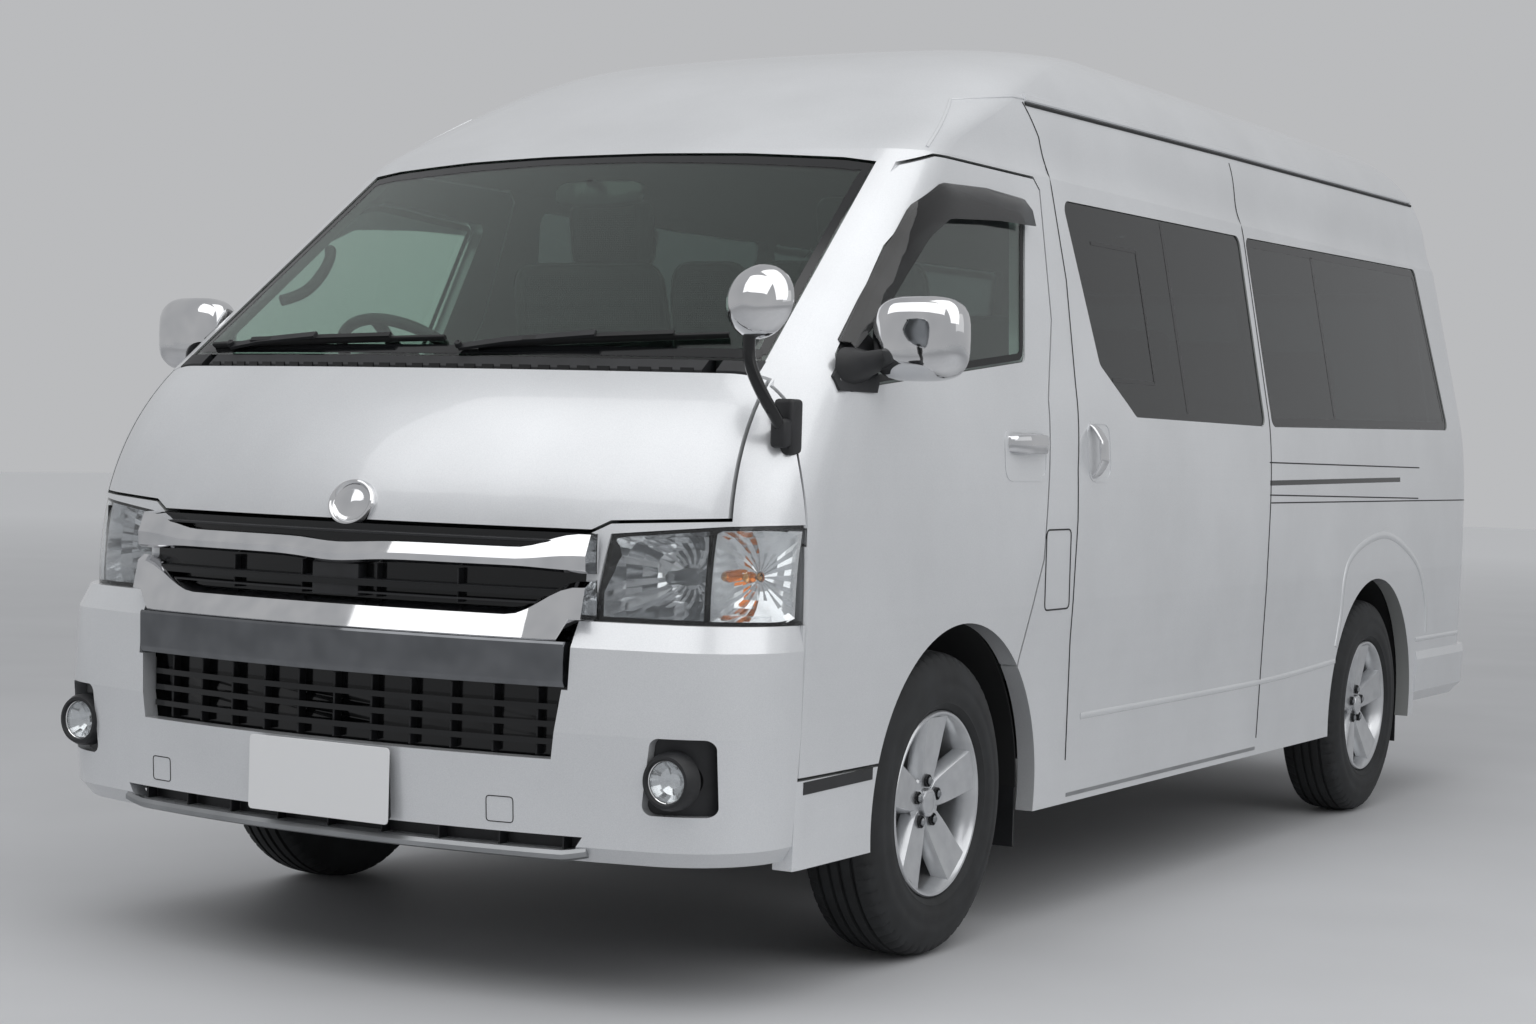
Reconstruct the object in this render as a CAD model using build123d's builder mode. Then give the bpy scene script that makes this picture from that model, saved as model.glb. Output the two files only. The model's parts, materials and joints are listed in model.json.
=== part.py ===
"""High-roof van: a long, wide passenger van with a raised roof, a sliding side door and a lifting tailgate.

Frame: X is across the van with +X on its left-hand side, Y runs from the nose (-Y) to the tail (+Y),
Z is up. The origin is on the ground, in the middle of the overall length and width. Sizes are in mm.
"""

from build123d import *
from math import sqrt
import os

os.makedirs("parts", exist_ok=True)

# Overall sizes
LENGTH = 5380
WHEELBASE = 3110
FRONT_OVERHANG = 1060
NOSE = -LENGTH / 2
TAIL = LENGTH / 2
FRONT_AXLE = NOSE + FRONT_OVERHANG
REAR_AXLE = FRONT_AXLE + WHEELBASE
HALF_WIDTH = 940
WALL = 45
SHUT_GAP = 7
SEAM = 0.3

# Wheels, tyres and steering
TYRE_R = 346
TYRE_WIDTH = 195
RIM_R = 190
RIM_WIDTH = 165
WHEEL_X = 827
AXLE_Z = TYRE_R
SPINDLE_R = 30
KINGPIN_X = 767
ARCH_R = 418
ARCH_Z = 335
FRONT_ARCH_BACK = 60
LINER_R = 436
LINER_T = 6
FRONT_LINER_BACK = 30
FRONT_LINER_X = 512
REAR_LINER_X = 655
SPOKES = 5

# Heights of the body's main lines
SILL_Z = 280
DOOR_BOTTOM_Z = 463
LAMP_BOTTOM_Z = 782
LAMP_TOP_Z = 975
BELT_Z = 1235
COWL_Z = 1300
HEADER_Z = 1830
GUTTER_Z = 2030
ROOF_Z = 2285
FLOOR_Z = 600
FLOOR_T = 40
FLOOR_TOP = FLOOR_Z + FLOOR_T

# Body outlines at rising heights, each a rounded plan shape symmetric about X = 0
TAIL_BOW = 9000
# columns: height, half width, setback from the nose, setback from the tail,
#          radius of the bowed nose, radius of the front corners, radius of the rear corners
SILL_ROW = (SILL_Z, 930, 68, 75, 2800, 250, 130)
LAMP_ROW = (LAMP_BOTTOM_Z, HALF_WIDTH, 60, 65, 2800, 250, 130)
COWL_ROW = (COWL_Z, 915, 300, 75, 2800, 250, 130)
HEADER_ROW = (HEADER_Z, 813, 980, 135, 2800, 150, 130)
LOWER_ROWS = [SILL_ROW, LAMP_ROW]
NOSE_ROWS = [
    LAMP_ROW,
    (950, HALF_WIDTH, 75, 65, 2800, 250, 130),
    (1110, 937, 135, 68, 2800, 250, 130),
    COWL_ROW,
]
GLASS_ROWS = [COWL_ROW, HEADER_ROW]
ROOF_ROWS = [
    HEADER_ROW,
    (1940, 788, 1190, 165, 2800, 200, 140),
    (2035, 764, 1385, 190, 2700, 260, 150),
    (2118, 718, 1590, 225, 2600, 300, 160),
    (2182, 655, 1845, 280, 2400, 320, 180),
    (2225, 565, 2150, 345, 2000, 330, 200),
    (2260, 410, 2570, 480, 1400, 280, 200),
    (ROOF_Z, 190, 3170, 800, 600, 120, 120),
]
# columns: the rows of one zone, whether its faces are ruled
ZONES = [(LOWER_ROWS, True), (NOSE_ROWS, False), (GLASS_ROWS, True), (ROOF_ROWS, False)]
ALL_ROWS = [SILL_ROW] + NOSE_ROWS + [HEADER_ROW] + ROOF_ROWS[1:]


def corner(half_width, end, bow, radius, way):
    """Three points of the corner arc between a bowed end and a straight side; way is -1 at the nose."""
    bow_y = end - way * bow
    across = half_width - radius
    along = sqrt((bow - radius) ** 2 - across**2)
    ux, uy = across / (bow - radius), way * along / (bow - radius)
    length = sqrt((ux + 1) ** 2 + uy**2)
    centre_y = bow_y + way * along
    on_bow = (ux * bow, bow_y + uy * bow)
    middle = (across + radius * (ux + 1) / length, centre_y + radius * uy / length)
    return on_bow, middle, (half_width, centre_y)


def plan_outline(plane, half_width, nose_y, tail_y, bow, front_r, rear_r, tail_bow=TAIL_BOW):
    """A rounded plan shape as a sketch on the plane."""
    f1, f2, f3 = corner(half_width, nose_y, bow, front_r, -1)
    r1, r2, r3 = corner(half_width, tail_y, tail_bow, rear_r, 1)
    with BuildSketch(plane, mode=Mode.PRIVATE) as outline:
        with BuildLine():
            ThreePointArc((-f1[0], f1[1]), (0, nose_y), f1)
            ThreePointArc(f1, f2, f3)
            Line(f3, r3)
            ThreePointArc(r3, r2, r1)
            ThreePointArc(r1, (0, tail_y), (-r1[0], r1[1]))
            ThreePointArc((-r1[0], r1[1]), (-r2[0], r2[1]), (-r3[0], r3[1]))
            Line((-r3[0], r3[1]), (-f3[0], f3[1]))
            ThreePointArc((-f3[0], f3[1]), (-f2[0], f2[1]), (-f1[0], f1[1]))
        make_face()
    return outline.sketch


def slope(row, column):
    """Change of one column of the outline rows for each unit of height at a row."""
    i = ALL_ROWS.index(row)
    low, high = ALL_ROWS[max(i - 1, 0)], ALL_ROWS[min(i + 1, len(ALL_ROWS) - 1)]
    return (high[column] - low[column]) / (high[0] - low[0])


def inner_row(row, depth):
    """The row of a form that lies a given depth inside the body's outer form."""
    z, half_width, nose_in, tail_in, bow, front_r, rear_r = row
    side, nose, tail = slope(row, 1), slope(row, 2), slope(row, 3)
    if z < HEADER_Z:
        drop, across = 0, depth * sqrt(1 + side**2)
    else:
        drop, across = -depth * side / sqrt(1 + side**2), depth / sqrt(1 + side**2)
    back = depth * sqrt(1 + nose**2) - nose * drop
    forward = depth * sqrt(1 + tail**2) - tail * drop
    if z == SILL_Z:
        drop = 1 if depth else 0
    return (
        z - drop,
        half_width - across,
        nose_in + back,
        tail_in + forward,
        bow - depth,
        max(front_r - depth, 30),
        max(rear_r - depth, 30),
    )


def form(depth):
    """The closed form of the body, a given depth inside its outer skin."""
    with BuildPart(mode=Mode.PRIVATE) as body:
        for rows, ruled in ZONES:
            for row in rows:
                z, half_width, nose_in, tail_in, bow, front_r, rear_r = inner_row(row, depth)
                plane = Plane.XY.offset(z)
                add(plan_outline(plane, half_width, NOSE + nose_in, TAIL - tail_in, bow, front_r, rear_r))
            loft(ruled=ruled)
    return body.part


def slab(plane, points, depth, grow=0, rounding=0):
    """A straight prism on the plane: the outline, rounded, grown by grow and extruded by depth."""
    with BuildPart(mode=Mode.PRIVATE) as prism:
        with BuildSketch(plane):
            Polygon(*points, align=None)
            if rounding:
                fillet(vertices(), rounding)
            if grow:
                offset(amount=grow, kind=Kind.INTERSECTION)
        extrude(amount=depth)
    return prism.part


def side_slab(points, x_from, x_to, grow=0, rounding=0):
    """A prism across the van, from an outline in Y and Z."""
    return slab(Plane.YZ.offset(x_from), points, x_to - x_from, grow, rounding)


def end_slab(points, y_from, y_to, grow=0, rounding=0):
    """A prism along the van, from an outline in X and Z."""
    return slab(Plane.XZ.offset(-y_to), points, y_to - y_from, grow, rounding)


def plan_slab(points, z_from, z_to, grow=0, rounding=0):
    """An upright prism, from an outline in X and Y."""
    return slab(Plane.XY.offset(z_from), points, z_to - z_from, grow, rounding)


def block(x_from, x_to, y_from, y_to, z_from, z_to):
    """A box between two values on each axis."""
    corners = [(x_from, y_from), (x_to, y_from), (x_to, y_to), (x_from, y_to)]
    return plan_slab(corners, z_from, z_to)


def drum(x_from, x_to, y, z, radius, bore=0):
    """A cylinder across the van, with a bore if one is given."""
    with BuildPart(mode=Mode.PRIVATE) as body:
        with BuildSketch(Plane.YZ.offset(min(x_from, x_to))):
            with Locations((y, z)):
                Circle(radius)
                if bore:
                    Circle(bore, mode=Mode.SUBTRACT)
        extrude(amount=abs(x_to - x_from))
    return body.part


def post(x, y, z_from, z_to, radius, bore=0):
    """An upright cylinder, with a bore if one is given."""
    with BuildPart(mode=Mode.PRIVATE) as body:
        with BuildSketch(Plane.XY.offset(z_from)):
            with Locations((x, y)):
                Circle(radius)
                if bore:
                    Circle(bore, mode=Mode.SUBTRACT)
        extrude(amount=z_to - z_from)
    return body.part


def mirrored(points):
    """An outline's points with their mirror images on the other side of X = 0."""
    return points + [(-x, z) for x, z in reversed(points)]


def finish(part, name):
    """Label a finished piece and write it to its own file."""
    part.label = name
    export_step(part, f"parts/{name}.step")


def twins(piece, name):
    """Write a left-hand piece and its mirror image."""
    finish(piece.part, f"{name}_left")
    finish(mirror(piece.part, about=Plane.YZ, mode=Mode.PRIVATE), f"{name}_right")


# The body's skins
OUTER = form(0)
SHELL = OUTER - form(WALL)
GLASS_DEPTH = 4
GLASS_T = 5
GLASS_IN = form(GLASS_DEPTH + GLASS_T)
GLASS = form(GLASS_DEPTH) - GLASS_IN
FAR = 1100

# Roof cap
CAP_FRONT = -1812
SIDE_FRONT = -1560
CAP_BACK = 2380
CAP_LOW = 1760
CAP_BACK_LOW = 1930
ABOVE = ROOF_Z + 50
CAP_EDGE = [
    (CAP_FRONT, CAP_LOW + 15),
    (-1609, 1881),
    (-1286, 1996),
    (-994, GUTTER_Z - 6),
    (CAP_BACK, GUTTER_Z + 6),
    (CAP_BACK, CAP_BACK_LOW),
]
CAP_START = [(NOSE, ABOVE), (NOSE, CAP_LOW), (CAP_FRONT, CAP_LOW)]
ROOF_SIDE = CAP_START + CAP_EDGE + [(TAIL + 10, CAP_BACK_LOW), (TAIL + 10, ABOVE)]
HEADER_EDGE = [(1000, 1755), (823, 1775), (722, 1806), (400, 1824), (150, HEADER_Z)]
ROOF_FRONT = [(1000, ROOF_Z + 50)] + HEADER_EDGE

# Front doors and their hinges
HINGE_INBOARD = 20
PIN_R = 4
BARREL_R = 9
LUG_T = 30
HINGE_GAP = 5
NOSE_R = 23.3
DOOR_PIVOT_X = HALF_WIDTH - HINGE_INBOARD
DOOR_PIVOT_Y = -2289
DOOR = [
    (DOOR_PIVOT_Y, DOOR_BOTTOM_Z),
    (-1330, DOOR_BOTTOM_Z),
    (-1275, 650),
    (-1151, 887),
    (-1113, 1272),
    (-1026, 1470),
    (-984, 1794),
    (-1015, 1824),
    (-1540, 1824),
    (-1640, 1795),
    (-1768, 1717),
    (-1890, 1623),
    (-2213, 1352),
    (DOOR_PIVOT_Y, 1270),
]
DOOR_INNER = [(FAR, 400), (FAR, HEADER_Z + 10), (752, HEADER_Z + 10), (825, COWL_Z + 18), (825, 400)]
DOOR_WINDOW = [
    (-2150, 1255),
    (-1979, 1280),
    (-1221, 1360),
    (-1097, 1722),
    (-1530, 1745),
    (-1640, 1712),
    (-1830, 1590),
    (-2120, 1338),
]
DOOR_HINGE_HEIGHTS = [680, 960]

# Sliding door on the left-hand side
SLIDING_DOOR = [
    (-1003, 300),
    (395, 300),
    (432, 1000),
    (453, 1795),
    (440, 2016),
    (-988, 2016),
    (-948, 1822),
    (-978, 1448),
    (-966, 981),
    (-977, 537),
]

# Side windows, behind the front doors
FRONT_PANE = [(-570, 1243), (405, 1238), (418, 1794), (-856, 1781), (-766, 1371)]
REAR_PANE = [(462, 1238), (2300, 1262), (2184, 1822), (468, 1795)]
PANE_ROUND = 30

# Tailgate and its hinge
TAILGATE_TOP = 1990
TAILGATE_PIVOT_Y = TAIL - 165 - HINGE_INBOARD
TAILGATE_HALF_TOP = 672
TAILGATE = mirrored([(775, 505), (790, 760), (790, BELT_Z), (735, 1600), (TAILGATE_HALF_TOP, TAILGATE_TOP)])
TAILGATE_WINDOW = mirrored([(690, 1250), (640, 1760)])
TAILGATE_HINGE_X = [-420, 420]

# Bonnet, cowl and windscreen
BONNET_REAR_Y = NOSE + 295
BOW = 2800
BONNET = mirrored([(575, 958), (613, 978), (846, 990), (810, 1400)])
BONNET_PIVOT = (-2272, 1282)
BONNET_HINGE_X = [-690, 690]
STRAP_W = 20
COWL_TOP = 1318
COWL = mirrored([(800, 1200), (790, COWL_TOP)])
WINDSCREEN = mirrored([(788, COWL_TOP), (720, 1796), (640, 1807), (400, 1820), (150, HEADER_Z - 5)])

# Lamps
LAMP_BACK = -2290
LAMP_WALL = 8
LAMP_REACH = HALF_WIDTH + 20
HEADLAMP = [
    (592, LAMP_BOTTOM_Z),
    (LAMP_REACH, LAMP_BOTTOM_Z),
    (LAMP_REACH, LAMP_TOP_Z + 12),
    (840, LAMP_TOP_Z + 5),
    (616, LAMP_TOP_Z - 17),
]
TAIL_LAMP = [(812, 746), (960, 746), (960, 1212), (812, 1212)]

# Bumpers
BUMPER_T = 40
# columns: height, half width, setback from the nose
BUMPER_ROWS = [
    (300, 905, 40),
    (332, 926, 14),
    (560, HALF_WIDTH, 0),
    (730, HALF_WIDTH, 12),
    (LAMP_BOTTOM_Z, 930, 40),
]
BUMPER_BACK = -2318
GRILLE_X = 575
REAR_BUMPER_TOP = 498
# columns: height, half width, setback from the tail
REAR_BUMPER_ROWS = [(320, 900, 25), (360, 935, 5), (470, HALF_WIDTH, 0), (REAR_BUMPER_TOP, 936, 12)]
REAR_BUMPER_FRONT = 1960


def bonnet_space(grow):
    """The room of the bonnet: its outline ahead of the bowed line at its rear."""
    room = end_slab(BONNET, NOSE - 50, -2000, grow)
    return room - post(0, BONNET_REAR_Y + BOW, 900, 1500, BOW - grow)


def door_space(grow):
    """The room of the left front door with the round nose that turns in its hinge line."""
    nose = NOSE_R if grow else NOSE_R + HINGE_GAP
    panel = side_slab(DOOR, 700, FAR, grow) & end_slab(DOOR_INNER, -2400, -900)
    return panel + post(DOOR_PIVOT_X, DOOR_PIVOT_Y, DOOR_BOTTOM_Z - grow, 1270 + grow, nose)


def tailgate_space(grow):
    """The room of the tailgate with the round nose along its hinge line."""
    nose = NOSE_R if grow else NOSE_R + HINGE_GAP
    half = TAILGATE_HALF_TOP + grow
    return end_slab(TAILGATE, 2300, TAIL + 10, grow) + drum(-half, half, TAILGATE_PIVOT_Y, TAILGATE_TOP, nose)


FRONT_ARCH = drum(500, FAR, FRONT_AXLE + FRONT_ARCH_BACK, ARCH_Z, ARCH_R)
REAR_ARCH = drum(500, FAR, REAR_AXLE, ARCH_Z, ARCH_R + 10)
ROOF_ROOM = side_slab(ROOF_SIDE, -FAR, FAR) & end_slab(mirrored(ROOF_FRONT), NOSE - 10, TAIL + 10)
BONNET_ROOM = bonnet_space(0)
TAILGATE_ROOM = tailgate_space(0)
DOOR_ROOM = door_space(0)
COWL_ROOM = end_slab(COWL, -2500, -1900) - BONNET_ROOM
WINDSCREEN_ROOM = end_slab(WINDSCREEN, NOSE, -1400)
LAMP_ROOM = end_slab(HEADLAMP, NOSE - 10, LAMP_BACK) - DOOR_ROOM
TAIL_LAMP_ROOM = end_slab(TAIL_LAMP, 2500, TAIL + 10)
GRILLE_ROOM = block(-GRILLE_X, GRILLE_X, NOSE - 10, -2400, 500, 958)
FRONT_SHELL = SHELL & block(-FAR, FAR, NOSE - 10, -1390, 0, 1900)
BACK_SHELL = SHELL & block(-FAR, FAR, 2200, TAIL + 10, 0, 2060)
SIDE_SHELL = SHELL & block(300, FAR, SIDE_FRONT, TAIL + 10, 0, 2060)
# Roof
with BuildPart() as roof:
    add(SHELL)
    add(ROOF_ROOM, mode=Mode.INTERSECT)
    add(TAILGATE_ROOM, mode=Mode.SUBTRACT)
    for x in TAILGATE_HINGE_X:
        left, right = x - LUG_T / 2, x + LUG_T / 2
        add(drum(left, right, TAILGATE_PIVOT_Y, TAILGATE_TOP, BARREL_R))
        add(block(left, right, TAILGATE_PIVOT_Y - 57, TAILGATE_PIVOT_Y, TAILGATE_TOP - 7, TAILGATE_TOP + 7))
        add(block(left, right, TAILGATE_PIVOT_Y - 57, TAILGATE_PIVOT_Y - 43, TAILGATE_TOP - 7, 2075))
        add(block(left, right, TAILGATE_PIVOT_Y - 57, TAILGATE_PIVOT_Y - 20, 2045, 2075))
        add(drum(left - 5, right + 5, TAILGATE_PIVOT_Y, TAILGATE_TOP, PIN_R + SEAM), mode=Mode.SUBTRACT)
finish(roof.part, "roof")

# Tailgate and its glass
with BuildPart() as tailgate:
    add(BACK_SHELL)
    add(tailgate_space(-SHUT_GAP), mode=Mode.INTERSECT)
    add(end_slab(TAILGATE_WINDOW, 2200, TAIL + 10, 0, PANE_ROUND), mode=Mode.SUBTRACT)
    for x in TAILGATE_HINGE_X:
        left, right = x - LUG_T / 2 - 4, x + LUG_T / 2 + 4
        notch_y = (TAILGATE_PIVOT_Y - 65, TAILGATE_PIVOT_Y + 14)
        notch = block(left, right, *notch_y, TAILGATE_TOP - 16, TAILGATE_TOP + 40)
        add(notch, mode=Mode.SUBTRACT)
        add(drum(x - LUG_T, x + LUG_T, TAILGATE_PIVOT_Y, TAILGATE_TOP, PIN_R))
finish(tailgate.part, "tailgate")

with BuildPart() as tailgate_glass:
    add(GLASS)
    add(end_slab(TAILGATE_WINDOW, 2200, TAIL + 10, -SEAM, PANE_ROUND), mode=Mode.INTERSECT)
finish(tailgate_glass.part, "tailgate_glass")

# Sides of the body
with BuildPart() as left_wall:
    add(SIDE_SHELL)
    for room in (ROOF_ROOM, TAILGATE_ROOM, DOOR_ROOM, REAR_ARCH, FRONT_ARCH, TAIL_LAMP_ROOM):
        add(room, mode=Mode.SUBTRACT)
    add(block(0, FAR, REAR_BUMPER_FRONT, TAIL, 0, REAR_BUMPER_TOP), mode=Mode.SUBTRACT)
    add(side_slab(REAR_PANE, 600, FAR, 0, PANE_ROUND), mode=Mode.SUBTRACT)
    add(side_slab(FRONT_PANE, 600, FAR, 0, PANE_ROUND), mode=Mode.SUBTRACT)
SLIDING_ROOM = side_slab(SLIDING_DOOR, 600, FAR)
with BuildPart() as side_left:
    add(left_wall.part)
    add(SLIDING_ROOM, mode=Mode.SUBTRACT)
finish(side_left.part, "side_left")
with BuildPart() as sliding_door:
    add(left_wall.part)
    add(SLIDING_ROOM, mode=Mode.INTERSECT)
finish(sliding_door.part, "sliding_door")
finish(mirror(left_wall.part, about=Plane.YZ), "side_right")

with BuildPart() as side_glass:
    for pane in (FRONT_PANE, REAR_PANE):
        add(GLASS & side_slab(pane, 600, FAR, -SEAM, PANE_ROUND))
    mirror(about=Plane.YZ)
finish(side_glass.part, "side_glass")

# Front doors
with BuildPart() as door:
    add(FRONT_SHELL + SIDE_SHELL)
    add(door_space(-SHUT_GAP), mode=Mode.INTERSECT)
    add(FRONT_ARCH, mode=Mode.SUBTRACT)
    add(side_slab(DOOR_WINDOW, 600, FAR, 0, 25), mode=Mode.SUBTRACT)
    for z in DOOR_HINGE_HEIGHTS:
        low, high = z - LUG_T / 2 - 4, z + LUG_T / 2 + 4
        notch = block(DOOR_PIVOT_X - 60, DOOR_PIVOT_X + 14, DOOR_PIVOT_Y - 40, DOOR_PIVOT_Y + 17, low, high)
        add(notch, mode=Mode.SUBTRACT)
        add(post(DOOR_PIVOT_X, DOOR_PIVOT_Y, z - LUG_T, z + LUG_T, PIN_R))
twins(door, "door")
with BuildPart() as door_glass:
    add(GLASS)
    add(side_slab(DOOR_WINDOW, 600, FAR, -SEAM, 25), mode=Mode.INTERSECT)
twins(door_glass, "door_glass")

# Panels around the front doors, the windscreen and the lamps
PILLAR = (846, 876, -2372, -2312)
with BuildPart() as front_half:
    add(FRONT_SHELL & block(0, FAR, NOSE - 10, SIDE_FRONT, 0, 1900))
    add(block(0, FAR, NOSE - 10, BUMPER_BACK, 0, LAMP_BOTTOM_Z), mode=Mode.SUBTRACT)
    rooms = [ROOF_ROOM, BONNET_ROOM, COWL_ROOM, WINDSCREEN_ROOM, FRONT_ARCH, GRILLE_ROOM, DOOR_ROOM, LAMP_ROOM]
    for room in rooms:
        add(room, mode=Mode.SUBTRACT)
    add(block(*PILLAR, 430, 1010))
    add(block(846, 900, BUMPER_BACK, -2300, 430, 455))
    for z in DOOR_HINGE_HEIGHTS:
        low, high = z - LUG_T / 2, z + LUG_T / 2
        add(post(DOOR_PIVOT_X, DOOR_PIVOT_Y, low, high, BARREL_R))
        add(block(865, DOOR_PIVOT_X, DOOR_PIVOT_Y - 7, DOOR_PIVOT_Y + 7, low, high))
        add(block(865, 887, DOOR_PIVOT_Y - 45, DOOR_PIVOT_Y + 7, low, high))
        add(post(DOOR_PIVOT_X, DOOR_PIVOT_Y, low - 5, high + 5, PIN_R + SEAM), mode=Mode.SUBTRACT)
twins(front_half, "front_panels")

# Bonnet and cowl
with BuildPart() as bonnet:
    add(FRONT_SHELL)
    add(bonnet_space(-SHUT_GAP), mode=Mode.INTERSECT)
    for x in BONNET_HINGE_X:
        strap = [(BONNET_PIVOT[0], 1291), (BONNET_PIVOT[0], 1273), (-2340, 1222), (-2340, 1242)]
        add(side_slab(strap, x - STRAP_W / 2, x + STRAP_W / 2))
        add(drum(x - STRAP_W / 2, x + STRAP_W / 2, *BONNET_PIVOT, BARREL_R))
        add(drum(x - STRAP_W, x + STRAP_W, *BONNET_PIVOT, PIN_R + SEAM), mode=Mode.SUBTRACT)
finish(bonnet.part, "bonnet")

with BuildPart() as cowl:
    add(FRONT_SHELL)
    add(COWL_ROOM, mode=Mode.INTERSECT)
    for x in BONNET_HINGE_X:
        add(block(x - STRAP_W / 2 - 5, x + STRAP_W / 2 + 5, -2330, -2257, 1200, 1350), mode=Mode.SUBTRACT)
        add(drum(x - STRAP_W, x + STRAP_W, *BONNET_PIVOT, PIN_R))
finish(cowl.part, "cowl")

with BuildPart() as windscreen:
    add(GLASS)
    add(end_slab(WINDSCREEN, NOSE, -1400, -SEAM), mode=Mode.INTERSECT)
finish(windscreen.part, "windscreen")

# Lamps
with BuildPart() as headlamps:
    add(GLASS & LAMP_ROOM)
    mirror(about=Plane.YZ)
finish(headlamps.part, "headlamps")

with BuildPart() as lamp_housings:
    add(GLASS_IN & LAMP_ROOM)
    add(end_slab(HEADLAMP, NOSE - 10, LAMP_BACK - LAMP_WALL, -LAMP_WALL), mode=Mode.SUBTRACT)
    add(block(*PILLAR, 430, 1010), mode=Mode.SUBTRACT)
    add(block(860, 895, DOOR_PIVOT_Y - 50, DOOR_PIVOT_Y + 10, 940, 980), mode=Mode.SUBTRACT)
    mirror(about=Plane.YZ)
finish(lamp_housings.part, "lamp_housings")

with BuildPart() as tail_lamps:
    add(BACK_SHELL & TAIL_LAMP_ROOM)
    mirror(about=Plane.YZ)
finish(tail_lamps.part, "tail_lamps")

# Front bumper
BUMPER_SHELL_BACK = -1700


def bumper_form(rows, inset, nose):
    """A bumper's closed form from its rows, moved inward by inset."""
    with BuildPart(mode=Mode.PRIVATE) as body:
        for z, half_width, setback in rows:
            front = NOSE + setback + inset if nose else -BUMPER_SHELL_BACK
            back = BUMPER_SHELL_BACK if nose else TAIL - setback - inset
            corner_r = (230, 150) if nose else (150, 140)
            outline = (half_width - inset, front, back, BOW, corner_r[0], corner_r[1], TAIL_BOW)
            add(plan_outline(Plane.XY.offset(z), *outline))
        loft(ruled=True)
    return body.part


FOG_RECESS = [(730, 405), (868, 405), (868, 560), (750, 560)]
BEZEL_DEPTH = 22
LOWER_OPENING = mirrored([(545, 505), (562, 645)])
SLOT = mirrored([(590, 322), (610, 352)])
with BuildPart() as front_bumper:
    add(bumper_form(BUMPER_ROWS, 0, True))
    add(bumper_form(BUMPER_ROWS, BUMPER_T, True), mode=Mode.SUBTRACT)
    add(block(-FAR, FAR, BUMPER_BACK, 0, 0, 1000), mode=Mode.SUBTRACT)
    add(block(-GRILLE_X, GRILLE_X, NOSE - 10, -2500, 645, 1000), mode=Mode.SUBTRACT)
    add(end_slab(LOWER_OPENING, NOSE - 10, -2500), mode=Mode.SUBTRACT)
    add(end_slab(SLOT, NOSE - 10, -2500), mode=Mode.SUBTRACT)
    for side in (1, -1):
        add(end_slab([(side * x, z) for x, z in FOG_RECESS], NOSE - 10, -2400, 0, 20), mode=Mode.SUBTRACT)
finish(front_bumper.part, "front_bumper")

# Grille behind the bumper and the bars
GRILLE_Y = NOSE + 62
GRILLE_BACK = GRILLE_Y + 30


def bow_band(x_half, front, back, z_from, z_to):
    """A band across the nose that follows its bow, between two depths."""
    with BuildPart(mode=Mode.PRIVATE) as band:
        with BuildSketch(Plane.XY.offset(z_from)):
            with Locations((0, front + BOW)):
                Circle(BOW)
            with Locations((0, back + BOW)):
                Circle(BOW, mode=Mode.SUBTRACT)
            with Locations((0, front + 200)):
                Rectangle(2 * x_half, 800, mode=Mode.INTERSECT)
        extrude(amount=z_to - z_from)
    return band.part


SLAT_HEIGHTS = [537, 572, 607, 835]
with BuildPart() as grille:
    add(bow_band(GRILLE_X, GRILLE_Y, GRILLE_BACK, 500, 957))
    for z in SLAT_HEIGHTS:
        add(bow_band(540, NOSE + 30, GRILLE_Y + 5, z - 6, z + 6))
finish(grille.part, "grille")

with BuildPart() as grille_bars:
    add(bow_band(565, NOSE, GRILLE_Y, 646, 726))
    add(bow_band(560, NOSE + 22, GRILLE_Y, 726, 800))
    add(bow_band(572, NOSE + 30, GRILLE_Y, 880, 928))
finish(grille_bars.part, "grille_bars")

FOG_X, FOG_Z = 790, 476
FOG_R = 42
with BuildPart() as fog_bezels:
    add(bumper_form(BUMPER_ROWS, BEZEL_DEPTH, True) - bumper_form(BUMPER_ROWS, BUMPER_T, True))
    add(end_slab(FOG_RECESS, NOSE - 10, -2400, -SEAM, 20), mode=Mode.INTERSECT)
    with BuildSketch(Plane.XZ.offset(2400)):
        with Locations((FOG_X, FOG_Z)):
            Circle(FOG_R + SEAM)
    extrude(amount=300, mode=Mode.SUBTRACT)
    mirror(about=Plane.YZ)
finish(fog_bezels.part, "fog_bezels")

with BuildPart() as fog_lamps:
    for side in (1, -1):
        with BuildSketch(Plane.XZ.offset(2500)):
            with Locations((side * FOG_X, FOG_Z)):
                Circle(FOG_R)
        extrude(amount=70)
finish(fog_lamps.part, "fog_lamps")

# Rear bumper
with BuildPart() as rear_bumper:
    add(bumper_form(REAR_BUMPER_ROWS, 0, False))
    add(bumper_form(REAR_BUMPER_ROWS, BUMPER_T, False), mode=Mode.SUBTRACT)
    add(block(-FAR, FAR, -NOSE - 3000, REAR_BUMPER_FRONT, 0, 1000), mode=Mode.SUBTRACT)
finish(rear_bumper.part, "rear_bumper")

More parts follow.
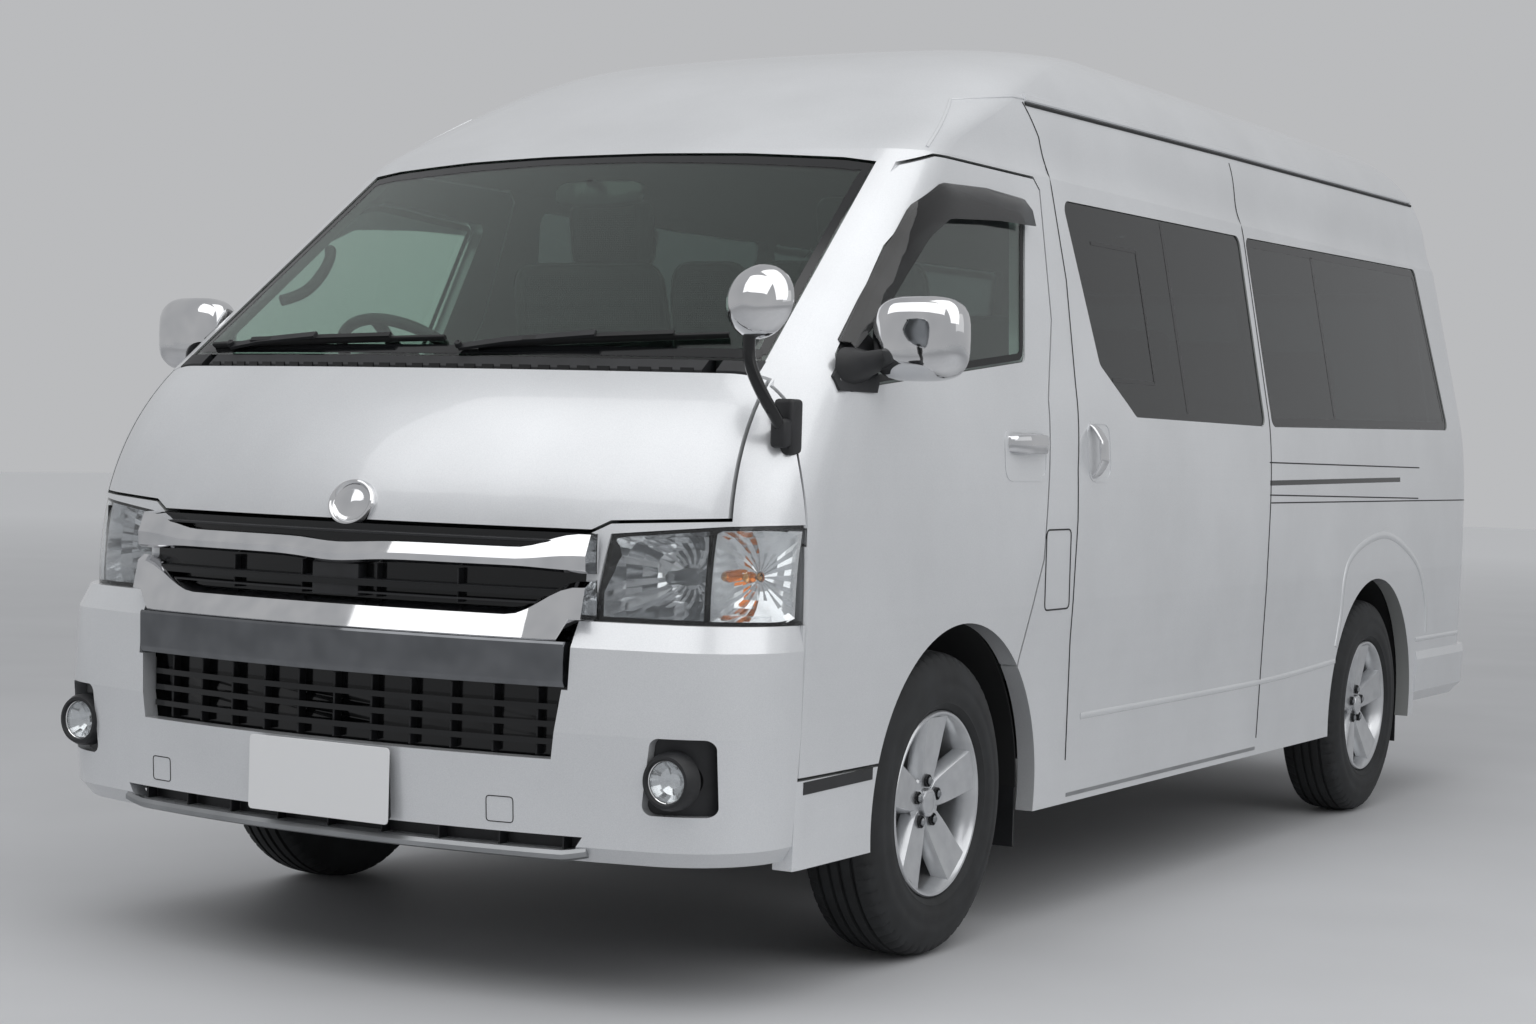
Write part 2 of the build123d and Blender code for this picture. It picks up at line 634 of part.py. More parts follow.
# Floor, wheel liners and chassis frame
FLOOR_FRONT = -2290
FLOOR_REAR = TAIL - 75 - WALL - 5
SILL_FLARE = (LAMP_ROW[1] - SILL_ROW[1]) / (LAMP_BOTTOM_Z - SILL_Z)
FLOOR_HALF = SILL_ROW[1] + SILL_FLARE * (FLOOR_Z - SILL_Z) - WALL - 2 * SEAM
LINER_OUT = SILL_ROW[1] + SILL_FLARE * (ARCH_Z - SILL_Z) - WALL - 1
RAIL_X = 400
RAIL_W = 70
RAIL_LOW = 470
RAIL_HIGH = FLOOR_Z
FRONT_LINER_Y = FRONT_AXLE + FRONT_LINER_BACK
SEAT_BOX = (-560, 560, -1760, -1020)
SEAT_BOX_TOP = 930
SEAT_BOX_T = 25


def liner_drum(side, front, extra=0):
    """The outside of a wheel liner."""
    y = FRONT_LINER_Y if front else REAR_AXLE
    inner = FRONT_LINER_X if front else REAR_LINER_X
    return drum(side * (inner - extra), side * LINER_OUT, y, ARCH_Z, LINER_R + extra)


with BuildPart() as floor:
    with BuildSketch(Plane.XY.offset(FLOOR_Z)) as floor_outline:
        add(plan_outline(Plane.XY, FLOOR_HALF, FLOOR_FRONT - 250, FLOOR_REAR, BOW, 250, 85))
        with Locations((0, FLOOR_FRONT - 500)):
            Rectangle(2 * FAR, 1000, mode=Mode.SUBTRACT)
        for side in (1, -1):
            with Locations((side * (LINER_OUT + 50), FRONT_LINER_Y)):
                Rectangle(100, 1500, mode=Mode.SUBTRACT)
            with Locations((side * (LINER_OUT + 50), REAR_AXLE)):
                Rectangle(100, 2 * LINER_R, mode=Mode.SUBTRACT)
    extrude(amount=FLOOR_T)
    x_low, x_high, y_low, y_high = SEAT_BOX
    add(block(x_low + 25, x_high - 25, y_low + 25, y_high - 25, FLOOR_Z, FLOOR_TOP), mode=Mode.SUBTRACT)
    add(block(x_low, x_high, y_low, y_high, FLOOR_TOP, SEAT_BOX_TOP))
    box_x = (x_low + SEAT_BOX_T, x_high - SEAT_BOX_T)
    box_y = (y_low + SEAT_BOX_T, y_high - SEAT_BOX_T)
    add(block(*box_x, *box_y, FLOOR_TOP - 1, SEAT_BOX_TOP - SEAT_BOX_T), mode=Mode.SUBTRACT)
    for side in (1, -1):
        for front in (True, False):
            add(liner_drum(side, front, LINER_T), mode=Mode.SUBTRACT)
finish(floor.part, "floor")

with BuildPart() as wheel_liners:
    for side in (1, -1):
        for front in (True, False):
            inner = FRONT_LINER_X if front else REAR_LINER_X
            wall_hole = block(side * (inner - LINER_T - 1), side * inner, NOSE, TAIL, 0, FLOOR_Z)
            below = block(-FAR, FAR, NOSE, TAIL, -200, ARCH_Z)
            add(liner_drum(side, front, LINER_T) - liner_drum(side, front) - wall_hole - below)
finish(wheel_liners.part, "wheel_liners")

RAIL_FRONT = NOSE + 160
RAIL_REAR = TAIL - 130
RAIL_IN = RAIL_X - RAIL_W / 2
RAIL_OUT = RAIL_X + RAIL_W / 2
CROSS_MEMBERS = [-2080, -480, 200, 1050, 1900, 2180, 2500]
CROSS_MEMBER_W = 60
CROSS_MEMBER_IN = 20
BEAM_HALF = 620
BEAM_T = 60
BEAM_LOW = 505
BEAM_HIGH = 560
OUTRIGGERS = [-480, 200, 1000]
OUTRIGGER_W = 50
OUTRIGGER_LOW = 560
with BuildPart() as chassis_frame:
    for side in (1, -1):
        add(block(side * RAIL_IN, side * RAIL_OUT, RAIL_FRONT, RAIL_REAR, RAIL_LOW, RAIL_HIGH))
    for y in CROSS_MEMBERS:
        member_y = (y - CROSS_MEMBER_W / 2, y + CROSS_MEMBER_W / 2)
        add(block(-RAIL_X, RAIL_X, *member_y, RAIL_LOW + CROSS_MEMBER_IN, RAIL_HIGH - CROSS_MEMBER_IN))
    add(bow_band(BEAM_HALF, GRILLE_BACK + SEAM, GRILLE_BACK + BEAM_T, BEAM_LOW, BEAM_HIGH))
    for side in (1, -1):
        for y in OUTRIGGERS:
            arm_y = (y - OUTRIGGER_W / 2, y + OUTRIGGER_W / 2)
            add(block(side * RAIL_X, side * (FLOOR_HALF - 1), *arm_y, OUTRIGGER_LOW, FLOOR_Z))
finish(chassis_frame.part, "chassis_frame")

# Engine, driveline and tank
ENGINE_BOTTOM = 380
ENGINE_TOP = 880
ENGINE_HALF = 230
ENGINE_FRONT = FRONT_AXLE - 90
ENGINE_BACK = FRONT_AXLE + 570
MOUNT_FRONT = FRONT_AXLE + 130
MOUNT_LENGTH = 60
GEARBOX_HALF = 150
GEARBOX_BACK = -560
GEARBOX_TOP = 580
with BuildPart() as engine:
    add(block(-ENGINE_HALF, ENGINE_HALF, ENGINE_FRONT, ENGINE_BACK, ENGINE_BOTTOM, ENGINE_TOP))
    add(block(-RAIL_IN, RAIL_IN, MOUNT_FRONT, MOUNT_FRONT + MOUNT_LENGTH, 500, 560))
    add(block(-GEARBOX_HALF, GEARBOX_HALF, ENGINE_BACK, GEARBOX_BACK, ENGINE_BOTTOM, GEARBOX_TOP))
finish(engine.part, "engine")

SHAFT_Z = 440
SHAFT_R = 38
PINION_REACH = 170
with BuildPart() as propshaft:
    with BuildSketch(Plane.XZ.offset(-GEARBOX_BACK)):
        with Locations((0, SHAFT_Z)):
            Circle(SHAFT_R)
    extrude(amount=-(REAR_AXLE - PINION_REACH - GEARBOX_BACK))
finish(propshaft.part, "propshaft")

AXLE_TUBE_R = 42
AXLE_TUBE_HALF = 735
DIFFERENTIAL_R = 150
DIFFERENTIAL_HALF_H = 110
PINION_HALF = 60
BRAKE_DRUM_R = 130
BRAKE_DRUM_IN = 690
BRAKE_DRUM_OUT = 742
SPINDLE_END = 860
with BuildPart() as rear_axle:
    add(drum(-AXLE_TUBE_HALF, AXLE_TUBE_HALF, REAR_AXLE, AXLE_Z, AXLE_TUBE_R))
    with BuildSketch(Plane.XY.offset(AXLE_Z)):
        with Locations((0, REAR_AXLE)):
            Circle(DIFFERENTIAL_R)
    extrude(amount=DIFFERENTIAL_HALF_H, both=True)
    add(block(-PINION_HALF, PINION_HALF, REAR_AXLE - PINION_REACH, REAR_AXLE, AXLE_Z - 20, SHAFT_Z + 45))
    for side in (1, -1):
        add(drum(side * BRAKE_DRUM_IN, side * BRAKE_DRUM_OUT, REAR_AXLE, AXLE_Z, BRAKE_DRUM_R))
        add(drum(side * (BRAKE_DRUM_OUT - 2), side * SPINDLE_END, REAR_AXLE, AXLE_Z, SPINDLE_R))
finish(rear_axle.part, "rear_axle")

SPRING_X = 560
SPRING_W = 70
SPRING_HALF = 640
SPRING_EYE_LOW = 505
SPRING_T = 25
SPRING_MIDDLE_T = 43
SHACKLE_HALF = 30
SHACKLE_LOW = 500
SHACKLE_HIGH = 560
with BuildPart() as leaf_springs:
    for side in (1, -1):
        low, high = side * (SPRING_X - SPRING_W / 2), side * (SPRING_X + SPRING_W / 2)
        front_eye, rear_eye = REAR_AXLE - SPRING_HALF, REAR_AXLE + SPRING_HALF
        leaf = [
            (front_eye, SPRING_EYE_LOW),
            (REAR_AXLE, AXLE_Z + AXLE_TUBE_R),
            (rear_eye, SPRING_EYE_LOW),
            (rear_eye, SPRING_EYE_LOW + SPRING_T),
            (REAR_AXLE, AXLE_Z + AXLE_TUBE_R + SPRING_MIDDLE_T),
            (front_eye, SPRING_EYE_LOW + SPRING_T),
        ]
        add(side_slab(leaf, min(low, high), max(low, high)))
        for y in (front_eye + 10, rear_eye - 10):
            add(block(side * RAIL_OUT, high, y - SHACKLE_HALF, y + SHACKLE_HALF, SHACKLE_LOW, SHACKLE_HIGH))
finish(leaf_springs.part, "leaf_springs")

PIPE_X = -480
PIPE_Z = 430
PIPE_R = 28
PIPE_FRONT = -1000
PIPE_BACK = TAIL - 110
SILENCER_X = (-620, -420)
SILENCER_Y = (250, 850)
SILENCER_LOW = 370
with BuildPart() as exhaust:
    with BuildSketch(Plane.XZ.offset(-PIPE_FRONT)):
        with Locations((PIPE_X, PIPE_Z)):
            Circle(PIPE_R)
    extrude(amount=PIPE_FRONT - PIPE_BACK)
    add(block(*SILENCER_X, *SILENCER_Y, SILENCER_LOW, RAIL_LOW))
    add(block(PIPE_X, -GEARBOX_HALF, PIPE_FRONT, PIPE_FRONT + 40, PIPE_Z - 30, PIPE_Z + 10))
finish(exhaust.part, "exhaust")

TANK_X = (450, 860)
TANK_Y = (-900, 100)
TANK_LOW = 370
TANK_HIGH = 560
TANK_BRACKET_Y = (-600, -500)
with BuildPart() as fuel_tank:
    add(block(*TANK_X, *TANK_Y, TANK_LOW, TANK_HIGH))
    add(block(RAIL_OUT, TANK_X[0] + 20, *TANK_BRACKET_Y, TANK_HIGH - 80, TANK_HIGH))
finish(fuel_tank.part, "fuel_tank")

SPARE_LOW = 330
SPARE_Y = 2180
SPARE_T = 160
with BuildPart() as spare_wheel:
    with BuildSketch(Plane.XY.offset(SPARE_LOW)):
        with Locations((0, SPARE_Y)):
            Circle(TYRE_R - 20)
    extrude(amount=SPARE_T)
finish(spare_wheel.part, "spare_wheel")

# Front suspension and steering knuckles
KINGPIN_Y = FRONT_AXLE
ARM_RISE = 110
ARM_HALF_W = 22
ARM_HALF_T = 12
ARM_END = 745
ARM_EYE_R = 24
KINGPIN_R = 9
TOWER_HALF = 60
with BuildPart() as front_suspension:
    for side in (1, -1):
        arm_y = (KINGPIN_Y - ARM_HALF_W, KINGPIN_Y + ARM_HALF_W)
        for z in (AXLE_Z - ARM_RISE, AXLE_Z + ARM_RISE):
            low, high = z - ARM_HALF_T, z + ARM_HALF_T
            add(block(side * RAIL_OUT, side * ARM_END, *arm_y, low, high))
            add(post(side * KINGPIN_X, KINGPIN_Y, low, high, ARM_EYE_R))
            add(post(side * KINGPIN_X, KINGPIN_Y, z - 20, z + 20, KINGPIN_R + SEAM), mode=Mode.SUBTRACT)
        tower_y = (KINGPIN_Y - TOWER_HALF, KINGPIN_Y + TOWER_HALF)
        add(block(side * (RAIL_X - 10), side * (RAIL_OUT + 30), *tower_y, AXLE_Z - ARM_RISE - 15, RAIL_LOW))
finish(front_suspension.part, "front_suspension")

KNUCKLE_R = 26
KNUCKLE_HALF = ARM_RISE - ARM_HALF_T - 1
for side, name in ((1, "left"), (-1, "right")):
    with BuildPart() as knuckle:
        add(post(side * KINGPIN_X, KINGPIN_Y, AXLE_Z - KNUCKLE_HALF, AXLE_Z + KNUCKLE_HALF, KNUCKLE_R))
        pin_half = ARM_RISE + ARM_HALF_T
        add(post(side * KINGPIN_X, KINGPIN_Y, AXLE_Z - pin_half, AXLE_Z + pin_half, KINGPIN_R))
        add(drum(side * KINGPIN_X, side * SPINDLE_END, KINGPIN_Y, AXLE_Z, SPINDLE_R))
    finish(knuckle.part, f"knuckle_{name}")

# Wheels and tyres
WHEEL_FACE = 45
HUB_R = 62
HUB_DEPTH = 66
SPOKE_DEPTH = 34
SPOKE_SETBACK = 15
BEAD_X = RIM_WIDTH / 2 - 18
FLANGE_X = RIM_WIDTH / 2 - 10
FLANGE_R = RIM_R + 18
WELL_R = RIM_R + 10 - SEAM
WELL_INSIDE_R = RIM_R - 12
WALL_X = TYRE_WIDTH / 2
# Halves of the two sections, from the outside end to the middle: distance from the wheel's middle, radius
TYRE_HALF = [
    (BEAD_X - SEAM, RIM_R + 10),
    (FLANGE_X - SEAM, FLANGE_R + 0.4),
    (WALL_X, RIM_R + 62),
    (WALL_X - 4, TYRE_R - 48),
    (WALL_X - 18, TYRE_R - 14),
    (WALL_X - 40, TYRE_R - 2),
    (0, TYRE_R),
]
RIM_HALF = [
    (RIM_WIDTH / 2, WELL_INSIDE_R),
    (RIM_WIDTH / 2, FLANGE_R),
    (FLANGE_X, FLANGE_R),
    (BEAD_X, WELL_R),
]


def mirror_line(points):
    """A line from left to right across X = 0, from the points of its right half."""
    middle = [point for point in points if point[0] == 0]
    right = [point for point in points if point[0] != 0]
    return [(-x, r) for x, r in right] + middle + right[::-1]


# A spoke's face: it widens from the hub to the inside of the rim
SPOKE = [(HUB_R - 20, -20), (RIM_R - 4, -46), (RIM_R - 4, 46), (HUB_R - 20, 20)]
for y, row in ((FRONT_AXLE, "front"), (REAR_AXLE, "rear")):
    for side, name in ((1, "left"), (-1, "right")):
        plane = Plane(origin=(side * WHEEL_X, y, AXLE_Z), x_dir=(0, 1, 0), z_dir=(side, 0, 0))
        with BuildPart() as tyre:
            with BuildSketch(Plane(origin=(side * WHEEL_X, y, AXLE_Z), x_dir=(side, 0, 0), z_dir=(0, -1, 0))):
                with BuildLine():
                    Polyline(*mirror_line(TYRE_HALF), close=True)
                make_face()
            revolve(axis=Axis((0, y, AXLE_Z), (1, 0, 0)))
        finish(tyre.part, f"tyre_{row}_{name}")
        with BuildPart() as wheel:
            with BuildSketch(Plane(origin=(side * WHEEL_X, y, AXLE_Z), x_dir=(side, 0, 0), z_dir=(0, -1, 0))):
                with BuildLine():
                    Polyline(*mirror_line(RIM_HALF), close=True)
                make_face()
            revolve(axis=Axis((0, y, AXLE_Z), (1, 0, 0)))
            with BuildSketch(plane):
                Circle(HUB_R)
                Circle(SPINDLE_R + SEAM, mode=Mode.SUBTRACT)
            extrude(amount=HUB_DEPTH)
            with BuildSketch(plane.offset(WHEEL_FACE - SPOKE_SETBACK)):
                with PolarLocations(0, SPOKES, start_angle=90 * side):
                    Polygon(*SPOKE, align=None)
            extrude(amount=SPOKE_DEPTH)
        finish(wheel.part, f"wheel_{row}_{name}")

# Mud flaps
with BuildPart() as mud_flaps:
    for side in (1, -1):
        for y in (FRONT_LINER_Y, REAR_AXLE):
            add(block(side * 720, side * (LINER_OUT - 2), y + LINER_R, y + LINER_R + LINER_T, 190, ARCH_Z))
finish(mud_flaps.part, "mud_flaps")

# Dashboard, steering wheel, seats
STEER_X = -370
COLUMN = Plane(origin=(STEER_X, -2040, 1180), z_dir=(0, 0.62, 0.78), x_dir=(1, 0, 0))
COLUMN_R = 25
COLUMN_LENGTH = 170
GRIP_R = 190
GRIP_INSIDE_R = 165
GRIP_T = 26
GRIP_AT = 140
SPOKE_BAR_W = 40
DASH_FRONT = -2250
DASH_HALF = 800
with BuildPart() as dashboard:
    dash = [
        (DASH_FRONT, FLOOR_TOP),
        (DASH_FRONT, 1215),
        (-2000, 1240),
        (-1960, 1180),
        (-2060, 1010),
        (DASH_FRONT + 40, FLOOR_TOP),
    ]
    add(side_slab(dash, -DASH_HALF, DASH_HALF))
    with BuildSketch(COLUMN):
        Circle(COLUMN_R + SEAM)
    extrude(amount=COLUMN_LENGTH + 30, mode=Mode.SUBTRACT)
finish(dashboard.part, "dashboard")

with BuildPart() as steering_wheel:
    with BuildSketch(COLUMN):
        Circle(COLUMN_R)
    extrude(amount=COLUMN_LENGTH)
    with BuildSketch(COLUMN.offset(GRIP_AT)):
        Circle(GRIP_R)
        Circle(GRIP_INSIDE_R, mode=Mode.SUBTRACT)
        Rectangle(2 * GRIP_INSIDE_R + 10, SPOKE_BAR_W)
    extrude(amount=GRIP_T)
finish(steering_wheel.part, "steering_wheel")

# columns: middle and width of each front seat, whether it has a head rest
SEATS = [(-380, 500, True), (380, 500, True), (0, 250, False)]
SEAT_FRONT = -1720
SEAT_HEIGHT = 1060
BACKREST_FOOT = -1130
BACKREST_TOP = 1600
HEADREST_W = 260
HEADREST_H = 180
SEAT = [
    (SEAT_FRONT, SEAT_BOX_TOP),
    (SEAT_FRONT, SEAT_HEIGHT),
    (BACKREST_FOOT - 130, SEAT_HEIGHT - 20),
    (BACKREST_FOOT, BACKREST_TOP),
    (BACKREST_FOOT + 100, BACKREST_TOP),
    (BACKREST_FOOT, SEAT_BOX_TOP),
]
with BuildPart() as front_seats:
    for x, width, with_rest in SEATS:
        add(side_slab(SEAT, x - width / 2, x + width / 2))
        if with_rest:
            rest_y = (BACKREST_FOOT, BACKREST_FOOT + 90)
            rest_x = (x - HEADREST_W / 2, x + HEADREST_W / 2)
            add(block(*rest_x, *rest_y, BACKREST_TOP, BACKREST_TOP + HEADREST_H))
finish(front_seats.part, "front_seats")

BENCHES = [-300, 450, 1200, 1950]
BENCH_HALF = 620
BENCH_LOW = 960
BENCH_HEIGHT = 1080
BENCH_DEPTH = 450
BENCH_TOP = 1520
BENCH_LEGS = [-500, 470]
LEG_W = 30
with BuildPart() as rear_benches:
    for y in BENCHES:
        bench = [
            (y - BENCH_DEPTH, BENCH_LOW),
            (y - BENCH_DEPTH, BENCH_HEIGHT),
            (y - 80, BENCH_HEIGHT - 20),
            (y + 20, BENCH_TOP),
            (y + 110, BENCH_TOP),
            (y + 20, BENCH_LOW),
        ]
        add(side_slab(bench, -BENCH_HALF, BENCH_HALF))
        for x in BENCH_LEGS:
            add(block(x, x + LEG_W, y - BENCH_DEPTH + 50, y, FLOOR_TOP, BENCH_LOW))
finish(rear_benches.part, "rear_benches")

# Mirrors
MIRROR_MIDDLE = (1013, -1986, 1379)
MIRROR_W = 210
MIRROR_H = 180
MIRROR_CORNER = 50
MIRROR_HALF_T = 45
MIRROR_FOOT = (880, 1000, -2060, -1990, 1268, 1300)
with BuildPart() as door_mirror:
    head = Plane(origin=MIRROR_MIDDLE, x_dir=(0.88, 0.47, 0), z_dir=(0.47, -0.88, 0))
    with BuildSketch(head):
        RectangleRounded(MIRROR_W, MIRROR_H, MIRROR_CORNER)
    extrude(amount=MIRROR_HALF_T, both=True)
    add(block(*MIRROR_FOOT))
    add(OUTER, mode=Mode.SUBTRACT)
twins(door_mirror, "door_mirror")

CORNER_BALL = (873, -2430, 1434)
CORNER_BALL_R = 78
CORNER_STALK_R = 14
CORNER_FOOT = (840, 905, -2400, -2350, 1130, 1230)
CORNER_ELBOW = (856, 884, -2434, -2380, 1180, 1210)
with BuildPart() as corner_mirror:
    add(block(*CORNER_FOOT))
    add(post(870, -2420, CORNER_ELBOW[4], 1400, CORNER_STALK_R))
    add(block(*CORNER_ELBOW))
    with Locations(CORNER_BALL):
        Sphere(CORNER_BALL_R)
    add(OUTER, mode=Mode.SUBTRACT)
finish(corner_mirror.part, "corner_mirror")
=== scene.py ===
# %% [markdown]
# # High-roof van
# A long passenger van in silver metallic paint, with chrome mirrors, grille and handles, dark rear windows
# and five-spoke alloy wheels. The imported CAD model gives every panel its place. This lesson dresses it:
# finishes first, then the pieces that the CAD leaves plain. Lengths are written in millimetres and turned
# to metres in one place.

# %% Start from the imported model
import json
from math import atan2, cos, exp, pi, radians, sin, sqrt

import bmesh
import bpy
from mathutils import Matrix, Vector
from mathutils.bvhtree import BVHTree
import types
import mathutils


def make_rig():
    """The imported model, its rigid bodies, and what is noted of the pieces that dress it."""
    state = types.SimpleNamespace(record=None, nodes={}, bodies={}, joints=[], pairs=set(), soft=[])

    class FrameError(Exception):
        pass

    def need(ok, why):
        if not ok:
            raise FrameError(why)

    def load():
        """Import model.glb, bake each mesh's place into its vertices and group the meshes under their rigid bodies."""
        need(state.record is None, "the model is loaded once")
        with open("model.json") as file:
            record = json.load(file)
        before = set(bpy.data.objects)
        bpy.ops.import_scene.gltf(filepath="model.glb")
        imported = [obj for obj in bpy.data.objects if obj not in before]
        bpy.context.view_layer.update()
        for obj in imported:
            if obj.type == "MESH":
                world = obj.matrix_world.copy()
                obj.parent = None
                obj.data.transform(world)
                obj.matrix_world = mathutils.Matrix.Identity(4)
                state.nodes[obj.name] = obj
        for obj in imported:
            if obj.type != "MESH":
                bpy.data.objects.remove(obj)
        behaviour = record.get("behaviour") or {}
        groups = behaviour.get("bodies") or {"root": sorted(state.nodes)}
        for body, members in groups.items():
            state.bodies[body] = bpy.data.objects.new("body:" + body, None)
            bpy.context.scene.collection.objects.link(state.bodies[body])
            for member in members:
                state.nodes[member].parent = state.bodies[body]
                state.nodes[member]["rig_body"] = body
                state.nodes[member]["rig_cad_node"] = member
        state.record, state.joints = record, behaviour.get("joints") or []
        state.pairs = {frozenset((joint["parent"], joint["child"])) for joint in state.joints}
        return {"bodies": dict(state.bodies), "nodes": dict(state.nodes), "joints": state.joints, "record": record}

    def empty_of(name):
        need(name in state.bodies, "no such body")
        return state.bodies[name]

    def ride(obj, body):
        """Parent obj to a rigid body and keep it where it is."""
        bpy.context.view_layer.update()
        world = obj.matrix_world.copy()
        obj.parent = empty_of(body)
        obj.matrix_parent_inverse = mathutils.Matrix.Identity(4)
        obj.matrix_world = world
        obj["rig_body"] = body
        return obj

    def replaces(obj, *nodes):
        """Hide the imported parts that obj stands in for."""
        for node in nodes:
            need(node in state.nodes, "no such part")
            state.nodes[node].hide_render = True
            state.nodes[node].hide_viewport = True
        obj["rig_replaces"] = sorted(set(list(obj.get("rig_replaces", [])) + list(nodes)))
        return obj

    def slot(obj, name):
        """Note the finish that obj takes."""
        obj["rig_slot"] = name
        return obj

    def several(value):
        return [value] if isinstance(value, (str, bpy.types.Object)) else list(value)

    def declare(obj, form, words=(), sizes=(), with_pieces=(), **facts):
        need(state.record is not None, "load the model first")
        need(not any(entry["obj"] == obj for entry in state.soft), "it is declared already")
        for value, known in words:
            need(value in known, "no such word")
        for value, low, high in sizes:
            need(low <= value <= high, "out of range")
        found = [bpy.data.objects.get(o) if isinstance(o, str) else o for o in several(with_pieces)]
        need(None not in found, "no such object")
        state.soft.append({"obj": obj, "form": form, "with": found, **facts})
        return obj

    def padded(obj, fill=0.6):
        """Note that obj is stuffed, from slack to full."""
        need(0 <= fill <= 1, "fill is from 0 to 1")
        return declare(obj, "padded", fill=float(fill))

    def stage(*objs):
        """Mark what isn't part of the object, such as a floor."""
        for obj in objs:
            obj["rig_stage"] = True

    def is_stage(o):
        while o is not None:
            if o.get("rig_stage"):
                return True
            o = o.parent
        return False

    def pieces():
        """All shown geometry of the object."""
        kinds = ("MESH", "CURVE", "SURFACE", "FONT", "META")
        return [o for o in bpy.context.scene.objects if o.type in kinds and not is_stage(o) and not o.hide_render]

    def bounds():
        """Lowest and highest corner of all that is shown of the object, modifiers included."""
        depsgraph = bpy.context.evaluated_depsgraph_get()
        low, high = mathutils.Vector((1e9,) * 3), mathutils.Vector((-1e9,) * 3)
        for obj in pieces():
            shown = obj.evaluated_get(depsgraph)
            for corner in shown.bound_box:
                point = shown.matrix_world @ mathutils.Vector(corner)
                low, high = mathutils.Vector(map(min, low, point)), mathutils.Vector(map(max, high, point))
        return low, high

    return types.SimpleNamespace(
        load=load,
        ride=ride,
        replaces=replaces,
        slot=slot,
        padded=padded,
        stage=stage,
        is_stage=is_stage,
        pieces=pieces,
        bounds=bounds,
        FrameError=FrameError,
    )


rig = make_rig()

MM = 0.001
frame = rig.load()
cad_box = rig.bounds()
scene = bpy.context.scene
scene.view_settings.view_transform = "Standard"
cad = frame["nodes"]
print(len(cad), "CAD nodes on", len(frame["bodies"]), "bodies")

# %% [markdown]
# ## Helpers for pieces
# Each new piece starts as a bmesh in millimetres. One helper welds it, turns its faces outwards, scales it
# to metres and hangs it on a body. Shapes that change along their length are rings of points joined with
# bridge_loops, and round ones are profiles turned with spin.

# %% Turning a bmesh into a piece
WELD = 0.01


def add_piece(name, bm, finish, body, slot, sharp=35):
    bmesh.ops.remove_doubles(bm, verts=bm.verts, dist=WELD)
    bmesh.ops.recalc_face_normals(bm, faces=bm.faces)
    bmesh.ops.scale(bm, vec=(MM, MM, MM), verts=bm.verts)
    mesh = bpy.data.meshes.new(name)
    bm.to_mesh(mesh)
    bm.free()
    mesh.materials.append(finish)
    mesh.shade_smooth()
    mesh.set_sharp_from_angle(angle=radians(sharp))
    piece = bpy.data.objects.new(name, mesh)
    scene.collection.objects.link(piece)
    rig.ride(piece, body)
    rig.slot(piece, slot)
    print(name, len(mesh.polygons), "faces")
    return piece


# %% Rings, profiles, plates and blocks
def loft_rings(bm, rings, capped=True):
    """Joins closed rings of points into one skin, with its two ends filled where it is capped."""
    loops = []
    for ring in rings:
        verts = [bm.verts.new(point) for point in ring]
        loops.append([bm.edges.new(pair) for pair in zip(verts, verts[1:] + verts[:1])])
    for first, second in zip(loops, loops[1:]):
        bmesh.ops.bridge_loops(bm, edges=first + second)
    if capped:
        bmesh.ops.holes_fill(bm, edges=loops[0] + loops[-1], sides=0)


def turn_profile(bm, profile, steps, centre=(0, 0, 0), axis=(1, 0, 0), side=(0, 0, 1), closed=False):
    """Spins a profile of (along the axis, radius) points around the axis."""
    along, out, middle = Vector(axis), Vector(side), Vector(centre)
    verts = [bm.verts.new(middle + along * a + out * r) for a, r in profile]
    pairs = list(zip(verts, verts[1:])) + ([(verts[-1], verts[0])] if closed else [])
    edges = [bm.edges.new(pair) for pair in pairs]
    bmesh.ops.spin(bm, geom=verts + edges, cent=middle, axis=along, angle=2 * pi, steps=steps, use_merge=True)
    bmesh.ops.remove_doubles(bm, verts=bm.verts, dist=0.005)


def turned(*shape, closed=False):
    """A new bmesh with one turned profile."""
    bm = bmesh.new()
    turn_profile(bm, *shape, closed=closed)
    return bm


def raise_plate(bm, outline, rise, bevel):
    """A face through the outline's points, extruded by the vector rise, with its edges rounded."""
    face = bm.faces.new([bm.verts.new(point) for point in outline])
    made = bmesh.ops.extrude_face_region(bm, geom=[face])
    top = [part for part in made["geom"] if isinstance(part, bmesh.types.BMVert)]
    bmesh.ops.translate(bm, vec=Vector(rise), verts=top)
    if bevel:
        edges = {edge for vert in top for edge in vert.link_edges} | set(face.edges)
        round_edges(bm, edges, bevel, 1)


def round_edges(bm, edges, width, segments):
    bmesh.ops.bevel(
        bm,
        geom=list(edges),
        offset=width,
        offset_type="OFFSET",
        segments=segments,
        profile=0.5,
        affect="EDGES",
        clamp_overlap=True,
        material=-1,
    )


def add_block(bm, x, y, z, bevel=3.0, segments=2):
    """A box between two values on each axis, with rounded edges."""
    low, high = Vector((x[0], y[0], z[0])), Vector((x[1], y[1], z[1]))
    place = Matrix.LocRotScale((low + high) / 2, None, high - low)
    verts = bmesh.ops.create_cube(bm, size=1.0, matrix=place)["verts"]
    round_edges(bm, {edge for vert in verts for edge in vert.link_edges}, bevel, segments)


# %% Points on the CAD skin
def skin_of(*names):
    """One searchable surface, in millimetres, from the meshes of the named CAD nodes."""
    points, faces = [], []
    for name in names:
        mesh = cad[name].data
        start = len(points)
        points += [vert.co / MM for vert in mesh.vertices]
        faces += [[start + index for index in polygon.vertices] for polygon in mesh.polygons]
    return BVHTree.FromPolygons(points, faces)


